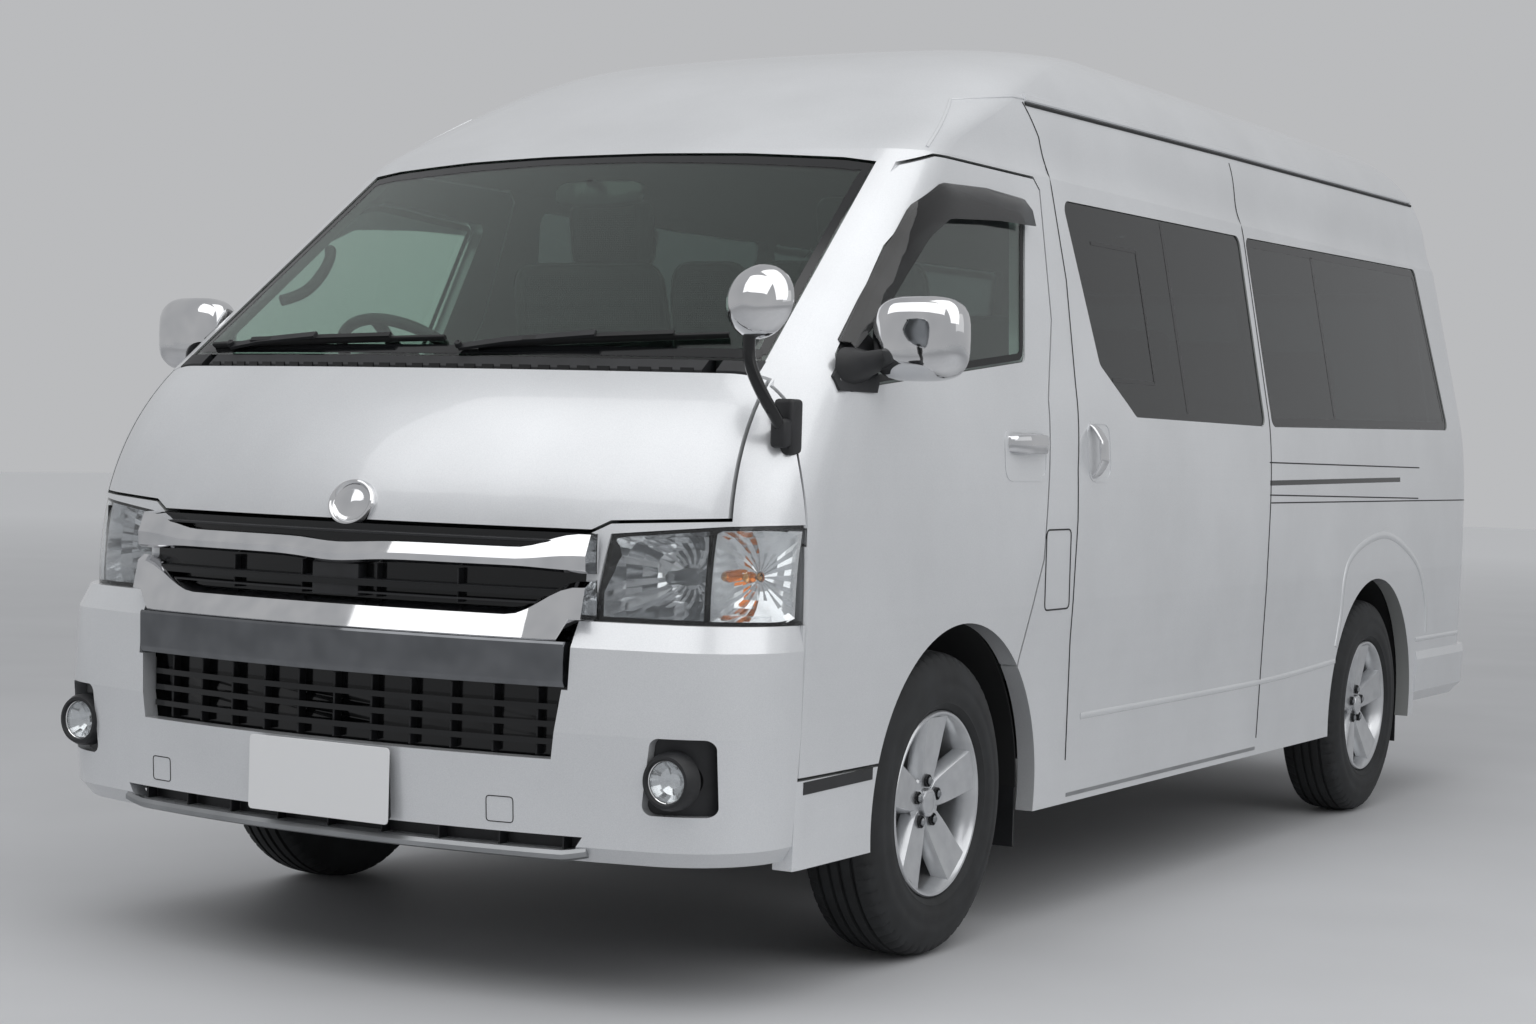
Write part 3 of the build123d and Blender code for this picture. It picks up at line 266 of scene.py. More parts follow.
def on_skin(skin, start, direction, proud=0.0):
    """The point where a ray meets the skin, moved out along the face's normal by proud."""
    place, normal, _, _ = skin.ray_cast(Vector(start), Vector(direction))
    if place is None:
        return None
    if normal.dot(Vector(direction)) > 0:
        normal = -normal
    return place + normal * proud


left_skin = skin_of(
    "side_left", "sliding_door", "side_glass", "door_left", "door_glass_left", "front_panels_left", "roof"
)
right_skin = skin_of("side_right", "side_glass", "door_right", "door_glass_right", "front_panels_right", "roof")
front_skin = skin_of("bonnet", "windscreen", "cowl", "front_bumper", "front_panels_left", "headlamps", "roof")
rear_skin = skin_of("tailgate", "tailgate_glass", "rear_bumper", "roof")


# rays start well outside the van
BESIDE = 1300
BEYOND = 3300
OVERHEAD = 2700


def from_left(y, z, proud=0.0):
    return on_skin(left_skin, (BESIDE, y, z), (-1, 0, 0), proud)


def from_right(y, z, proud=0.0):
    return on_skin(right_skin, (-BESIDE, y, z), (1, 0, 0), proud)


def from_front(x, z, proud=0.0):
    return on_skin(front_skin, (x, -BEYOND, z), (0, 1, 0), proud)


def from_rear(x, z, proud=0.0):
    return on_skin(rear_skin, (x, BEYOND, z), (0, -1, 0), proud)


# %% Strips and tubes that follow a line
def sample_line(points, step):
    """Points at about equal steps along straight runs between the given points."""
    line = [Vector(points[0])]
    for start, end in zip(points, points[1:]):
        run = Vector(end) - Vector(start)
        count = max(1, round(run.length / step))
        line += [Vector(start) + run * (k + 1) / count for k in range(count)]
    return line


def sweep_section(bm, line, section, out, closed=False):
    """Sweeps a section of (across, out) points along a line, with out as the outward direction."""
    rings = []
    for k, point in enumerate(line):
        before = line[k - 1] if k or closed else line[0]
        after = line[(k + 1) % len(line)] if k + 1 < len(line) or closed else line[-1]
        along = (after - before).normalized()
        outward = Vector(out).normalized()
        outward = (outward - along * outward.dot(along)).normalized()
        across = along.cross(outward)
        rings.append([point + across * a + outward * b for a, b in section])
    if closed:
        rings.append(rings[0])
    loft_rings(bm, rings, capped=not closed)


def add_tube(name, points, radius, finish, body, slot):
    """A round rod along a curve through the points, in millimetres."""
    curve = bpy.data.curves.new(name, "CURVE")
    curve.dimensions = "3D"
    curve.bevel_depth = radius * MM
    curve.bevel_resolution = 3
    curve.use_fill_caps = True
    curve.resolution_u = 6
    spline = curve.splines.new("NURBS")
    spline.points.add(len(points) - 1)
    for point, place in zip(spline.points, points):
        point.co = (place[0] * MM, place[1] * MM, place[2] * MM, 1)
    spline.order_u = 3
    spline.use_endpoint_u = True
    curve.materials.append(finish)
    rod = bpy.data.objects.new(name, curve)
    scene.collection.objects.link(rod)
    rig.ride(rod, body)
    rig.slot(rod, slot)


# %% [markdown]
# ## Finishes
# Every finish is a small node tree on a Principled shader. Colours are sRGB hex values turned to linear by
# one function, and one function adds a node with its settings and links. Patterns are placed by Object
# coordinates.

# %% Colours and nodes
def linear(hex_colour):
    channels = [int(hex_colour[k : k + 2], 16) / 255 for k in (1, 3, 5)]
    return [c / 12.92 if c <= 0.04045 else ((c + 0.055) / 1.055) ** 2.4 for c in channels] + [1.0]


def add_node(tree, kind, settings=None, links=None):
    node = tree.nodes.new(kind)
    for key, value in (settings or {}).items():
        if isinstance(key, int) or key in node.inputs:
            node.inputs[key].default_value = value
        else:
            setattr(node, key, value)
    for key, socket in (links or {}).items():
        tree.links.new(socket, node.inputs[key])
    return node


def start_finish(name, settings):
    """A material with a Principled shader, its Object coordinates and the shader node."""
    material = bpy.data.materials.new(name)
    material.use_nodes = True
    tree = material.node_tree
    shader = tree.nodes["Principled BSDF"]
    for key, value in settings.items():
        shader.inputs[key].default_value = value
    place = add_node(tree, "ShaderNodeTexCoord").outputs["Object"]
    return material, tree, shader, place


def two_tones(tree, factor, first, second, low, high):
    ramp = add_node(tree, "ShaderNodeValToRGB", links={"Fac": factor})
    ramp.color_ramp.elements[0].position = low
    ramp.color_ramp.elements[0].color = linear(first)
    ramp.color_ramp.elements[1].position = high
    ramp.color_ramp.elements[1].color = linear(second)
    return ramp.outputs["Color"]


def grain(tree, place, size_mm, detail):
    """A noise whose lumps are about size_mm across."""
    settings = {"Scale": 1 / (size_mm * MM), "Detail": detail, "Roughness": 0.55}
    return add_node(tree, "ShaderNodeTexNoise", settings, {"Vector": place}).outputs["Fac"]


def add_bump(tree, shader, height, depth_mm, strength):
    settings = {"Strength": strength, "Distance": depth_mm * MM}
    bump = add_node(tree, "ShaderNodeBump", settings, {"Height": height})
    tree.links.new(bump.outputs["Normal"], shader.inputs["Normal"])


# %% [markdown]
# ### Silver metallic paint
# The body is steel in a silver metallic base coat with clear lacquer over it. Aluminium flakes in the base
# coat give a sparkle and the soft change from light to grey as a panel turns. The real flakes are 0.03 mm,
# too fine for the picture, so they are drawn 0.9 mm wide and faint. Lacquer is the shader's own coat. The
# back of a panel, seen through the windows, is grey trim: the dot product of a face's normal with its place
# about the middle of the cabin tells which side it is.

# %% Body paint with trim on the inside
FLAKE_MM = 0.9
CABIN_MIDDLE_M = 1.15
TRIM_BELOW = -0.12


def make_body_paint(name, with_trim):
    settings = {
        "Base Color": linear("#DCDEE0"),
        "Metallic": 0.4,
        "Roughness": 0.33,
        "Coat Weight": 0.85,
        "Coat Roughness": 0.04,
        "Coat IOR": 1.5,
    }
    material, tree, shader, place = start_finish(name, settings)
    flakes = add_node(tree, "ShaderNodeTexVoronoi", {"Scale": 1 / (FLAKE_MM * MM)}, {"Vector": place})
    sparkle = add_node(tree, "ShaderNodeSeparateColor", links={"Color": flakes.outputs["Color"]}).outputs["Red"]
    silver = two_tones(tree, sparkle, "#D6D8DB", "#E3E5E7", 0.0, 1.0)
    dust = grain(tree, place, 420.0, 3.0)
    haze = two_tones(tree, dust, "#F4F4F4", "#FFFFFF", 0.3, 0.7)
    mix = add_node(tree, "ShaderNodeMix", {"data_type": "RGBA", "blend_type": "MULTIPLY", "Factor": 1.0})
    tree.links.new(silver, mix.inputs["A"])
    tree.links.new(haze, mix.inputs["B"])
    tree.links.new(mix.outputs["Result"], shader.inputs["Base Color"])
    if with_trim:
        matte_grey = {"Base Color": linear("#8C8E8D"), "Roughness": 0.85, "Metallic": 0.0}
        trim = add_node(tree, "ShaderNodeBsdfPrincipled", matte_grey)
        coordinates = add_node(tree, "ShaderNodeTexCoord")
        middle = add_node(tree, "ShaderNodeMapping", {"Location": (0, 0, -CABIN_MIDDLE_M)}, {"Vector": place})
        dot = add_node(tree, "ShaderNodeVectorMath", {"operation": "DOT_PRODUCT"})
        tree.links.new(coordinates.outputs["Normal"], dot.inputs[0])
        tree.links.new(middle.outputs["Vector"], dot.inputs[1])
        threshold = {"operation": "LESS_THAN", 1: TRIM_BELOW}
        inside = add_node(tree, "ShaderNodeMath", threshold, {0: dot.outputs["Value"]})
        either = add_node(tree, "ShaderNodeMixShader", links={0: inside.outputs[0], 1: shader.outputs[0]})
        tree.links.new(trim.outputs[0], either.inputs[2])
        tree.links.new(either.outputs[0], tree.nodes["Material Output"].inputs["Surface"])
    return material


body_paint = make_body_paint("silver_metallic_paint", False)
panel_paint = make_body_paint("silver_paint_with_grey_trim", True)

# %% [markdown]
# ### Chrome
# The grille bars, mirrors and door handles are moulded plastic with a mirror-bright nickel and chrome
# plate. It has almost no roughness, and its colour comes from what it reflects. Faint waves in the moulding
# keep the reflections from being perfect. The grille's lowest moulding gets a darker chrome, which is a
# painted reflection of the dark road in front.

# %% Chrome plate
def make_chrome(name, dark, light, metallic=1.0, roughness=0.045):
    settings = {"Base Color": linear(light), "Metallic": metallic, "Roughness": roughness}
    material, tree, shader, place = start_finish(name, settings)
    waves = grain(tree, place, 60.0, 1.0)
    tint = two_tones(tree, waves, dark, light, 0.3, 0.7)
    tree.links.new(tint, shader.inputs["Base Color"])
    add_bump(tree, shader, waves, 0.5, 0.25)
    return material


chrome = make_chrome("chrome_plated_plastic", "#D2D3D5", "#E0E0E1")
# darker chrome for the grille's lowest moulding: a painted reflection of the dark road in front
chrome_darkened_by_painted_reflection = make_chrome("chrome_with_painted_dark_reflection", "#6E7073", "#7A7C7F")
# a lamp's bowl is metallised under a clear lacquer, which spreads its light a little
lamp_plating = make_chrome("lacquered_lamp_plating", "#DEDFE0", "#F0F1F2", 0.88, 0.08)

# %% [markdown]
# ### Black plastics and rubber
# The cowl, grille, mirror feet and seals are black mouldings. ABS and polypropylene mouldings have a fine
# leather-like grain from the etched mould, about 0.8 mm across, and reflect softly. Tyre rubber is greyer
# and duller. One function makes them all, with their own colour, grain size and roughness.

# %% Moulded blacks, rubber and other plain finishes
def make_moulded(name, dark, light, roughness, grain_mm, depth_mm, metallic=0.0, extra=None):
    settings = {"Base Color": linear(dark), "Roughness": roughness, "Metallic": metallic}
    settings.update(extra or {})
    material, tree, shader, place = start_finish(name, settings)
    spots = grain(tree, place, grain_mm, 3.0)
    clouds = grain(tree, place, grain_mm * 40, 2.0)
    tree.links.new(two_tones(tree, clouds, dark, light, 0.3, 0.7), shader.inputs["Base Color"])
    add_bump(tree, shader, spots, depth_mm, 0.6)
    return material


black_plastic = make_moulded("grained_black_polypropylene", "#17181A", "#202124", 0.5, 1.2, 0.12)
gloss_black = make_moulded("gloss_black_abs", "#0A0B0C", "#101113", 0.12, 30.0, 0.02)
seal_rubber = make_moulded("epdm_seal_rubber", "#101112", "#191A1B", 0.6, 2.0, 0.08)
tyre_rubber = make_moulded("black_tyre_rubber", "#1C1D1E", "#26282A", 0.72, 1.6, 0.1)
cabin_plastic = make_moulded("dark_grey_cabin_plastic", "#2A2E2E", "#343838", 0.6, 1.5, 0.1)
liner_plastic = make_moulded("rough_black_polyethylene", "#0E0F10", "#191A1B", 0.8, 5.0, 0.5)
chassis_black = make_moulded("black_chassis_paint", "#121314", "#1E1F20", 0.55, 3.0, 0.1)
cast_metal = make_moulded("cast_aluminium_block", "#4A4B4C", "#6B6C6D", 0.55, 2.5, 0.25, metallic=0.7)
exhaust_steel = make_moulded("dull_aluminised_steel", "#56534F", "#7C7872", 0.45, 8.0, 0.05, metallic=0.85)
alloy = make_moulded("silver_painted_alloy", "#B9BBBE", "#C6C8CA", 0.28, 1.0, 0.01, 0.75, {"Coat Weight": 0.6})
nut_steel = make_moulded("zinc_plated_steel", "#85888B", "#A3A5A7", 0.3, 3.0, 0.02, metallic=1.0)
plate_white = make_moulded("white_coated_plate", "#DFE0E1", "#E6E7E8", 0.35, 20.0, 0.02)

# %% [markdown]
# ### Seat cloth
# The seats wear a dark grey knitted cloth. Its threads are about 1.5 mm apart, drawn here at 3 mm so that
# they show in the picture. Two crossed wave patterns stand for the knit, with a little sheen from the
# fibres' loose ends.

# %% Woven cloth
def make_cloth():
    settings = {"Base Color": linear("#33383A"), "Roughness": 0.9, "Sheen Weight": 0.25, "Sheen Roughness": 0.5}
    material, tree, shader, place = start_finish("dark_grey_knitted_cloth", settings)
    rows = {"wave_type": "BANDS", "bands_direction": "X", "Scale": 1 / (3.0 * MM) / 6.2, "Distortion": 0.4}
    warp = add_node(tree, "ShaderNodeTexWave", rows, {"Vector": place}).outputs["Fac"]
    rows["bands_direction"] = "Z"
    weft = add_node(tree, "ShaderNodeTexWave", rows, {"Vector": place}).outputs["Fac"]
    knit = add_node(tree, "ShaderNodeMath", {"operation": "MULTIPLY"}, {0: warp, 1: weft}).outputs[0]
    tree.links.new(two_tones(tree, knit, "#292D2F", "#3D4244", 0.1, 0.8), shader.inputs["Base Color"])
    add_bump(tree, shader, knit, 0.4, 0.7)
    return material


seat_cloth = make_cloth()

# %% [markdown]
# ### Glass and lenses
# The windscreen and front door glass are green float glass, and the rear windows are deep-tinted privacy
# glass. Lamp lenses are clear polycarbonate. All of them are real solids a few millimetres thick, so a
# fully transmissive shader bends and tints the light by itself. A faint film of dust, roughness only, keeps
# them from being sterile.

# %% Glass
DUST_ROUGHNESS = 0.03


def make_glass(name, tint, roughness=0.0, ior=1.5):
    settings = {"Base Color": linear(tint), "Transmission Weight": 1.0, "IOR": ior, "Roughness": roughness}
    material, tree, shader, place = start_finish(name, settings)
    film = grain(tree, place, 90.0, 3.0)
    spread = {"To Min": roughness, "To Max": roughness + DUST_ROUGHNESS}
    dusty = add_node(tree, "ShaderNodeMapRange", spread, {"Value": film})
    tree.links.new(dusty.outputs["Result"], shader.inputs["Roughness"])
    return material


screen_glass = make_glass("green_float_glass", "#C2DACE")
door_glass = make_glass("green_tempered_glass", "#C9DCD3")
privacy_glass = make_glass("dark_privacy_glass", "#4E5656")
visor_acrylic = make_glass("smoked_acrylic", "#57595B")
lens_clear = make_glass("clear_polycarbonate", "#F2F4F5", ior=1.45)
bulb_amber = make_glass("amber_bulb_glass", "#E8843A", 0.1)
lens_red = make_moulded("red_acrylic_lens", "#7A0A0C", "#93100F", 0.12, 14.0, 0.15, extra={"Coat Weight": 0.6})

# %% Finishes for the CAD nodes
NODE_FINISH = {
    panel_paint: [
        "roof", "tailgate", "side_left", "side_right", "sliding_door", "door_left", "door_right",
        "front_panels_left", "front_panels_right",
    ],
    body_paint: ["bonnet", "front_bumper", "rear_bumper"],
    screen_glass: ["windscreen"],
    door_glass: ["door_glass_left", "door_glass_right"],
    privacy_glass: ["side_glass", "tailgate_glass"],
    lens_clear: ["headlamps", "fog_lamps"],
    gloss_black: ["lamp_housings", "grille"],
    lens_red: ["tail_lamps"],
    black_plastic: ["cowl", "fog_bezels", "mud_flaps"],
    liner_plastic: ["wheel_liners"],
    cabin_plastic: ["dashboard", "steering_wheel"],
    chrome: ["grille_bars", "door_mirror_left", "door_mirror_right", "corner_mirror"],
    chassis_black: [
        "floor", "chassis_frame", "rear_axle", "leaf_springs", "front_suspension", "knuckle_left",
        "knuckle_right", "propshaft", "fuel_tank",
    ],
    cast_metal: ["engine"],
    exhaust_steel: ["exhaust"],
    seat_cloth: ["front_seats", "rear_benches"],
    alloy: [name for name in cad if name.startswith("wheel_") and name != "wheel_liners"],
    tyre_rubber: [name for name in cad if name.startswith("tyre_")] + ["spare_wheel"],
}
for finish, node_names in NODE_FINISH.items():
    for node_name in node_names:
        cad[node_name].data.materials.clear()
        cad[node_name].data.materials.append(finish)
unfinished = set(cad) - {name for names in NODE_FINISH.values() for name in names}
print("nodes with no finish:", sorted(unfinished))

# %% Lines, strips and side helpers
ROUND_RING = [(cos(k * pi / 4), sin(k * pi / 4)) for k in range(8)]
# a direction that no line of the van runs in, to start a round rod's ring from
ROD_OUT = (0.31, 0.43, 0.85)


def skin_line(points, cast, proud, step):
    """Points on the skin under a line drawn in the side, front or rear view."""
    flat = sample_line([(a, b, 0) for a, b in points], step)
    line = [cast(point.x, point.y, proud) for point in flat]
    return [point for point in line if point is not None]


def add_lines(name, lines, radius):
    """Thin rubber rods along several lines as one piece."""
    bm = bmesh.new()
    ring = [(radius * a, radius * b) for a, b in ROUND_RING]
    for line in lines:
        sweep_section(bm, line, ring, ROD_OUT)
    add_piece(name, bm, seal_rubber, "body", "black_plastic", sharp=60)


def strip_on_skin(bm, points, cast, half_width, low, high, step=25.0, round_top=0.0):
    """A strip that follows the skin: half_width to each side, from low to high above the skin."""
    section = [(half_width, high), (half_width, low)]
    if round_top:
        section[:1] = [(half_width - round_top, high), (half_width, high - round_top)]
    section = [(-across, up) for across, up in section[::-1]] + section
    flat = sample_line([(a, b, 0) for a, b in points], step)
    rings = []
    for k, point in enumerate(flat):
        base, raised = cast(point.x, point.y, 0.0), cast(point.x, point.y, 10.0)
        if base is None:
            continue
        after = flat[min(k + 1, len(flat) - 1)]
        before = flat[max(k - 1, 0)]
        ahead, behind = cast(after.x, after.y, 0.0), cast(before.x, before.y, 0.0)
        if ahead is None or behind is None or (ahead - behind).length < 0.01:
            continue
        out = (raised - base).normalized()
        across = (ahead - behind).normalized().cross(out).normalized()
        rings.append([base + across * a + out * b for a, b in section])
    loft_rings(bm, rings)


def strips(cast, *rows):
    """A new bmesh with strips on the skin. A row is the points, half width, low, high, step and rounding."""
    bm = bmesh.new()
    for points, *sizes in rows:
        strip_on_skin(bm, points, cast, *sizes)
    return bm


def resample(points, count):
    """The same polyline as count points at equal steps."""
    line = [Vector((*point, 0)) if len(point) == 2 else Vector(point) for point in points]
    lengths = [0.0]
    for start, end in zip(line, line[1:]):
        lengths.append(lengths[-1] + (end - start).length)
    result, k = [], 0
    for i in range(count):
        target = lengths[-1] * i / (count - 1)
        while k < len(line) - 2 and lengths[k + 1] < target:
            k += 1
        share = (target - lengths[k]) / max(lengths[k + 1] - lengths[k], 1e-9)
        result.append(line[k].lerp(line[k + 1], share))
    return result


def rounded(points, radius, steps=4):
    """A closed outline with its corners rounded by arcs of quadratic curves."""
    line = [Vector(point) for point in points]
    result = []
    for k, corner in enumerate(line):
        before, after = line[k - 1] - corner, line[(k + 1) % len(line)] - corner
        reach = min(radius, before.length / 2.1, after.length / 2.1)
        start, end = corner + before.normalized() * reach, corner + after.normalized() * reach
        for i in range(steps + 1):
            t = i / steps
            result.append((1 - t) ** 2 * start + 2 * t * (1 - t) * corner + t * t * end)
    return result


SIDES = {"left": (1, from_left, "door_left"), "right": (-1, from_right, "door_right")}
NOSE = -2690.0
BOW = 2800.0
FORWARD, BACKWARD, ACROSS = (0, -1, 0), (0, 1, 0), (1, 0, 0)


def bow(x):
    """How far the bowed nose lies back at a distance from the middle."""
    return BOW - sqrt(BOW**2 - x * x)


def ease(value, low, high):
    """Rises smoothly from 0 at low to 1 at high."""
    share = min(max((value - low) / (high - low), 0.0), 1.0)
    return share * share * (3 - 2 * share)


# %% [markdown]
# ## Wheels and tyres
# The van stands on 195/80R15 van tyres: a shoulder of blocks cut by sipes, and four grooves round the
# tread. A real tyre is moulded in one go, so its section is spun in one go here, and every fifth step of
# the shoulder is pressed in for a sipe. The alloys are cast with five flat spokes that widen towards the
# rim.

# %% Tyre with grooves and sipes
WHEEL_X, AXLE_Z = 827.0, 346.0
AXLES = {"front": -1630.0, "rear": 1480.0}
TYRE_STEPS = 300
SHOULDER_R = 325
SIPE_X = (50, 82)
SIPE_DEPTH = 4.5
HALF_TREAD = [
    (0, 346), (8, 346), (10, 338), (16, 338), (18, 345.4), (38, 344.2), (40, 336), (46, 336), (48, 343.2),
    (62, 340.5), (71, 337), (77, 332.5), (81, 326), (84, 320), (87, 312), (91, 303), (94, 292), (95.6, 280),
    (94.8, 277), (96.6, 266), (97.4, 254), (96.2, 243), (92, 232), (92.6, 228), (86, 218), (77, 211), (70, 207),
    (64, 200),
]


def add_tyre(name, middle, side, body, node):
    bm = bmesh.new()
    profile = HALF_TREAD[::-1] + [(-a, r) for a, r in HALF_TREAD[1:]]
    turn_profile(bm, profile, TYRE_STEPS, middle, (side, 0, 0), closed=True)
    for vert in bm.verts:
        spoke = vert.co - Vector(middle)
        radius, across = Vector((0, spoke.y, spoke.z)).length, abs(spoke.x)
        if radius < SHOULDER_R or not SIPE_X[0] < across < SIPE_X[1]:
            continue
        step = round((atan2(spoke.y, spoke.z) % (2 * pi)) / (2 * pi) * TYRE_STEPS)
        if step % 5 == (0 if spoke.x * side > 0 else 2):
            vert.co -= Vector((0, spoke.y, spoke.z)).normalized() * SIPE_DEPTH
    tyre = add_piece(name, bm, tyre_rubber, body, "tyre", sharp=30)
    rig.replaces(tyre, node)


# %% Alloy wheel
RIM_PROFILE = [
    (84, 203), (84.5, 208), (81, 211), (74, 210.5), (71, 206), (62, 199.5), (-62, 199.5), (-71, 206),
    (-76, 210.5), (-82, 210), (-82, 204), (-70, 190), (-58, 184), (20, 182), (52, 187), (70, 193), (80, 199),
]
# columns: distance from the hub's middle, half width of the face, its place along the axle
SPOKE_ROWS = [
    (26, 20, 55), (52, 33, 57), (78, 38, 61), (110, 42, 66), (150, 46, 72), (180, 49, 77), (196, 51, 80),
]
SPOKE_DEPTH = 34.0
SPOKE_DISH = 2.5
SPOKES = 5
BOLT_R = 50
HUB_PROFILE = [(0, 31), (0, 66), (48, 66), (53, 61), (54, 40), (50, 37), (50, 31)]
CAP_PROFILE = [(40, 33), (60, 33), (64, 31), (65.5, 26), (64.5, 23), (67, 16), (68, 0.01)]
PIT_PROFILE = [(50, 0.01), (57.2, 0.01), (57.2, 11.5), (60.5, 13), (60.5, 14.5), (50, 14.5)]
NUT_PROFILE = [(50, 9.5), (64, 9.5), (67, 6), (67, 0.01)]


def spoke_section(half, face):
    """The (across, along the axle) points round a spoke: a dished face, rounded edges and a flat back."""
    right = [(half * 0.45, face - SPOKE_DISH), (half - 4, face - 1), (half + 3, face - 12)]
    right.append((half + 7, face - SPOKE_DEPTH))
    return [(-a, t) for a, t in right[::-1]] + right


def seat_on_hub(bm, middle, side):
    """Turns work for the left side to face outwards on either side, and moves it to the wheel's middle."""
    if side < 0:
        bmesh.ops.rotate(bm, cent=(0, 0, 0), matrix=Matrix.Rotation(pi, 3, "Z"), verts=bm.verts)
    bmesh.ops.translate(bm, vec=middle, verts=bm.verts)


def add_wheel(name, middle, side, body, node):
    bm = bmesh.new()
    turn_profile(bm, RIM_PROFILE, 96, closed=True)
    spoke = bmesh.new()
    loft_rings(spoke, [[(t, a, r) for a, t in spoke_section(half, face)] for r, half, face in SPOKE_ROWS])
    bmesh.ops.recalc_face_normals(spoke, faces=spoke.faces)
    bmesh.ops.spin(
        spoke,
        geom=list(spoke.verts) + list(spoke.edges) + list(spoke.faces),
        cent=(0, 0, 0),
        axis=(1, 0, 0),
        angle=2 * pi * (SPOKES - 1) / SPOKES,
        steps=SPOKES - 1,
        use_duplicate=True,
    )
    star = bpy.data.meshes.new("star")
    spoke.to_mesh(star)
    spoke.free()
    bm.from_mesh(star)
    bpy.data.meshes.remove(star)
    turn_profile(bm, HUB_PROFILE, 48, closed=True)
    seat_on_hub(bm, middle, side)
    wheel = add_piece(name, bm, alloy, body, "alloy", sharp=28)
    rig.replaces(wheel, node)
    cap = turned(CAP_PROFILE, 48)
    seat_on_hub(cap, middle, side)
    add_piece(name + "_cap", cap, alloy, body, "alloy")
    # the black pits round the nuts are painted shade in the nut holes of the alloy
    pits, nuts = bmesh.new(), bmesh.new()
    for k in range(SPOKES):
        seat = Matrix.Rotation(2 * pi * k / SPOKES, 3, "X") @ Vector((0, 0, BOLT_R))
        turn_profile(pits, PIT_PROFILE, 24, seat)
        turn_profile(nuts, NUT_PROFILE, 6, seat)
    for bolt_work, finish, label in ((pits, black_plastic, "_nut_pit_shade"), (nuts, nut_steel, "_nuts")):
        seat_on_hub(bolt_work, middle, side)
        add_piece(name + label, bolt_work, finish, body, "alloy")


# %% Wheels on their axles, with a disc and caliper at the front
DISC_PROFILE = [(-34, 45), (-34, 132), (-22, 132), (-22, 45)]
CALIPER_IN, CALIPER_OUT = WHEEL_X - 50, WHEEL_X - 8
CALIPER_Y, CALIPER_Z = (62, 150), (AXLE_Z - 60, AXLE_Z + 60)
for axle, y in AXLES.items():
    for label, (side, _, _) in SIDES.items():
        body = f"wheel_{axle[0]}{label[0]}"
        middle = (side * WHEEL_X, y, AXLE_Z)
        add_tyre(f"tyre_dressed_{axle}_{label}", middle, side, body, f"tyre_{axle}_{label}")
        add_wheel(f"alloy_{axle}_{label}", middle, side, body, f"wheel_{axle}_{label}")
        if axle == "front":
            disc = turned(DISC_PROFILE, 64, middle, (side, 0, 0), closed=True)
            caliper_x = sorted((side * CALIPER_IN, side * CALIPER_OUT))
            add_block(disc, caliper_x, (y + CALIPER_Y[0], y + CALIPER_Y[1]), CALIPER_Z)
            add_piece(f"brake_disc_{label}", disc, cast_metal, f"knuckle_{label}", "chassis_black")

# %% [markdown]
# ## Chrome grille
# Three rows of chrome sit between the lamps: a slim upper bar with a dip in its middle, and a wide lower
# moulding in two facets, a bright one that leans back and one that faces the road, made darker with a painted
# reflection of the road. Their ends flare up to the lamps. Each is one plated moulding, so each is lofted
# from sections across the nose.

# %% Grille bars
BAR_STEPS = 23
UPPER_BAR_HALF = 600
LOWER_FACE_HALF = 567


def add_nose_moulding(name, half, section, finish):
    """Lofts rings of (setback, z) points from one side of the nose to the other."""
    bm = bmesh.new()
    rings = []
    for k in range(-BAR_STEPS, BAR_STEPS + 1):
        x = half * k / BAR_STEPS
        rings.append([(x, NOSE + bow(x) + back, z) for back, z in section(x)])
    loft_rings(bm, rings)
    return add_piece(name, bm, finish, "body", "chrome", sharp=24)


def upper_bar(x):
    dip = 9 * exp(-((x / 95) ** 2))
    flare = ease(abs(x), 430, 580)
    top, low = 926 + 30 * flare - dip, 882 - 4 * flare - dip
    ridge = low + (top - low) * 0.45
    lead = 8 * flare
    front = [(40 - lead, top), (22 - lead, ridge), (24 - lead, low + 6), (34 - lead, low)]
    return [(62, top + 2), *front, (62, low - 2)]


def lower_facet(x):
    flare = ease(abs(x), 420, 585)
    low = 742 + 44 * ease(abs(x), 545, 572)
    top = 800 + 62 * flare
    front = [(50 - 14 * flare, top), (30 - 14 * flare, top - 12), (2, low + 3), (4, low)]
    return [(62, top + 2), *front, (62, low - 1)]


def lower_face(_):
    return [(60, 741), (2, 741), (-1, 736), (1, 662), (7, 650), (60, 648)]


bar = add_nose_moulding("grille_upper_bar", UPPER_BAR_HALF, upper_bar, chrome)
add_nose_moulding("grille_lower_facet", UPPER_BAR_HALF, lower_facet, chrome)
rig.replaces(bar, "grille_bars")
# the lowest moulding's dark colour is a painted reflection of the road in front
add_nose_moulding("grille_lower_face", LOWER_FACE_HALF, lower_face, chrome_darkened_by_painted_reflection)

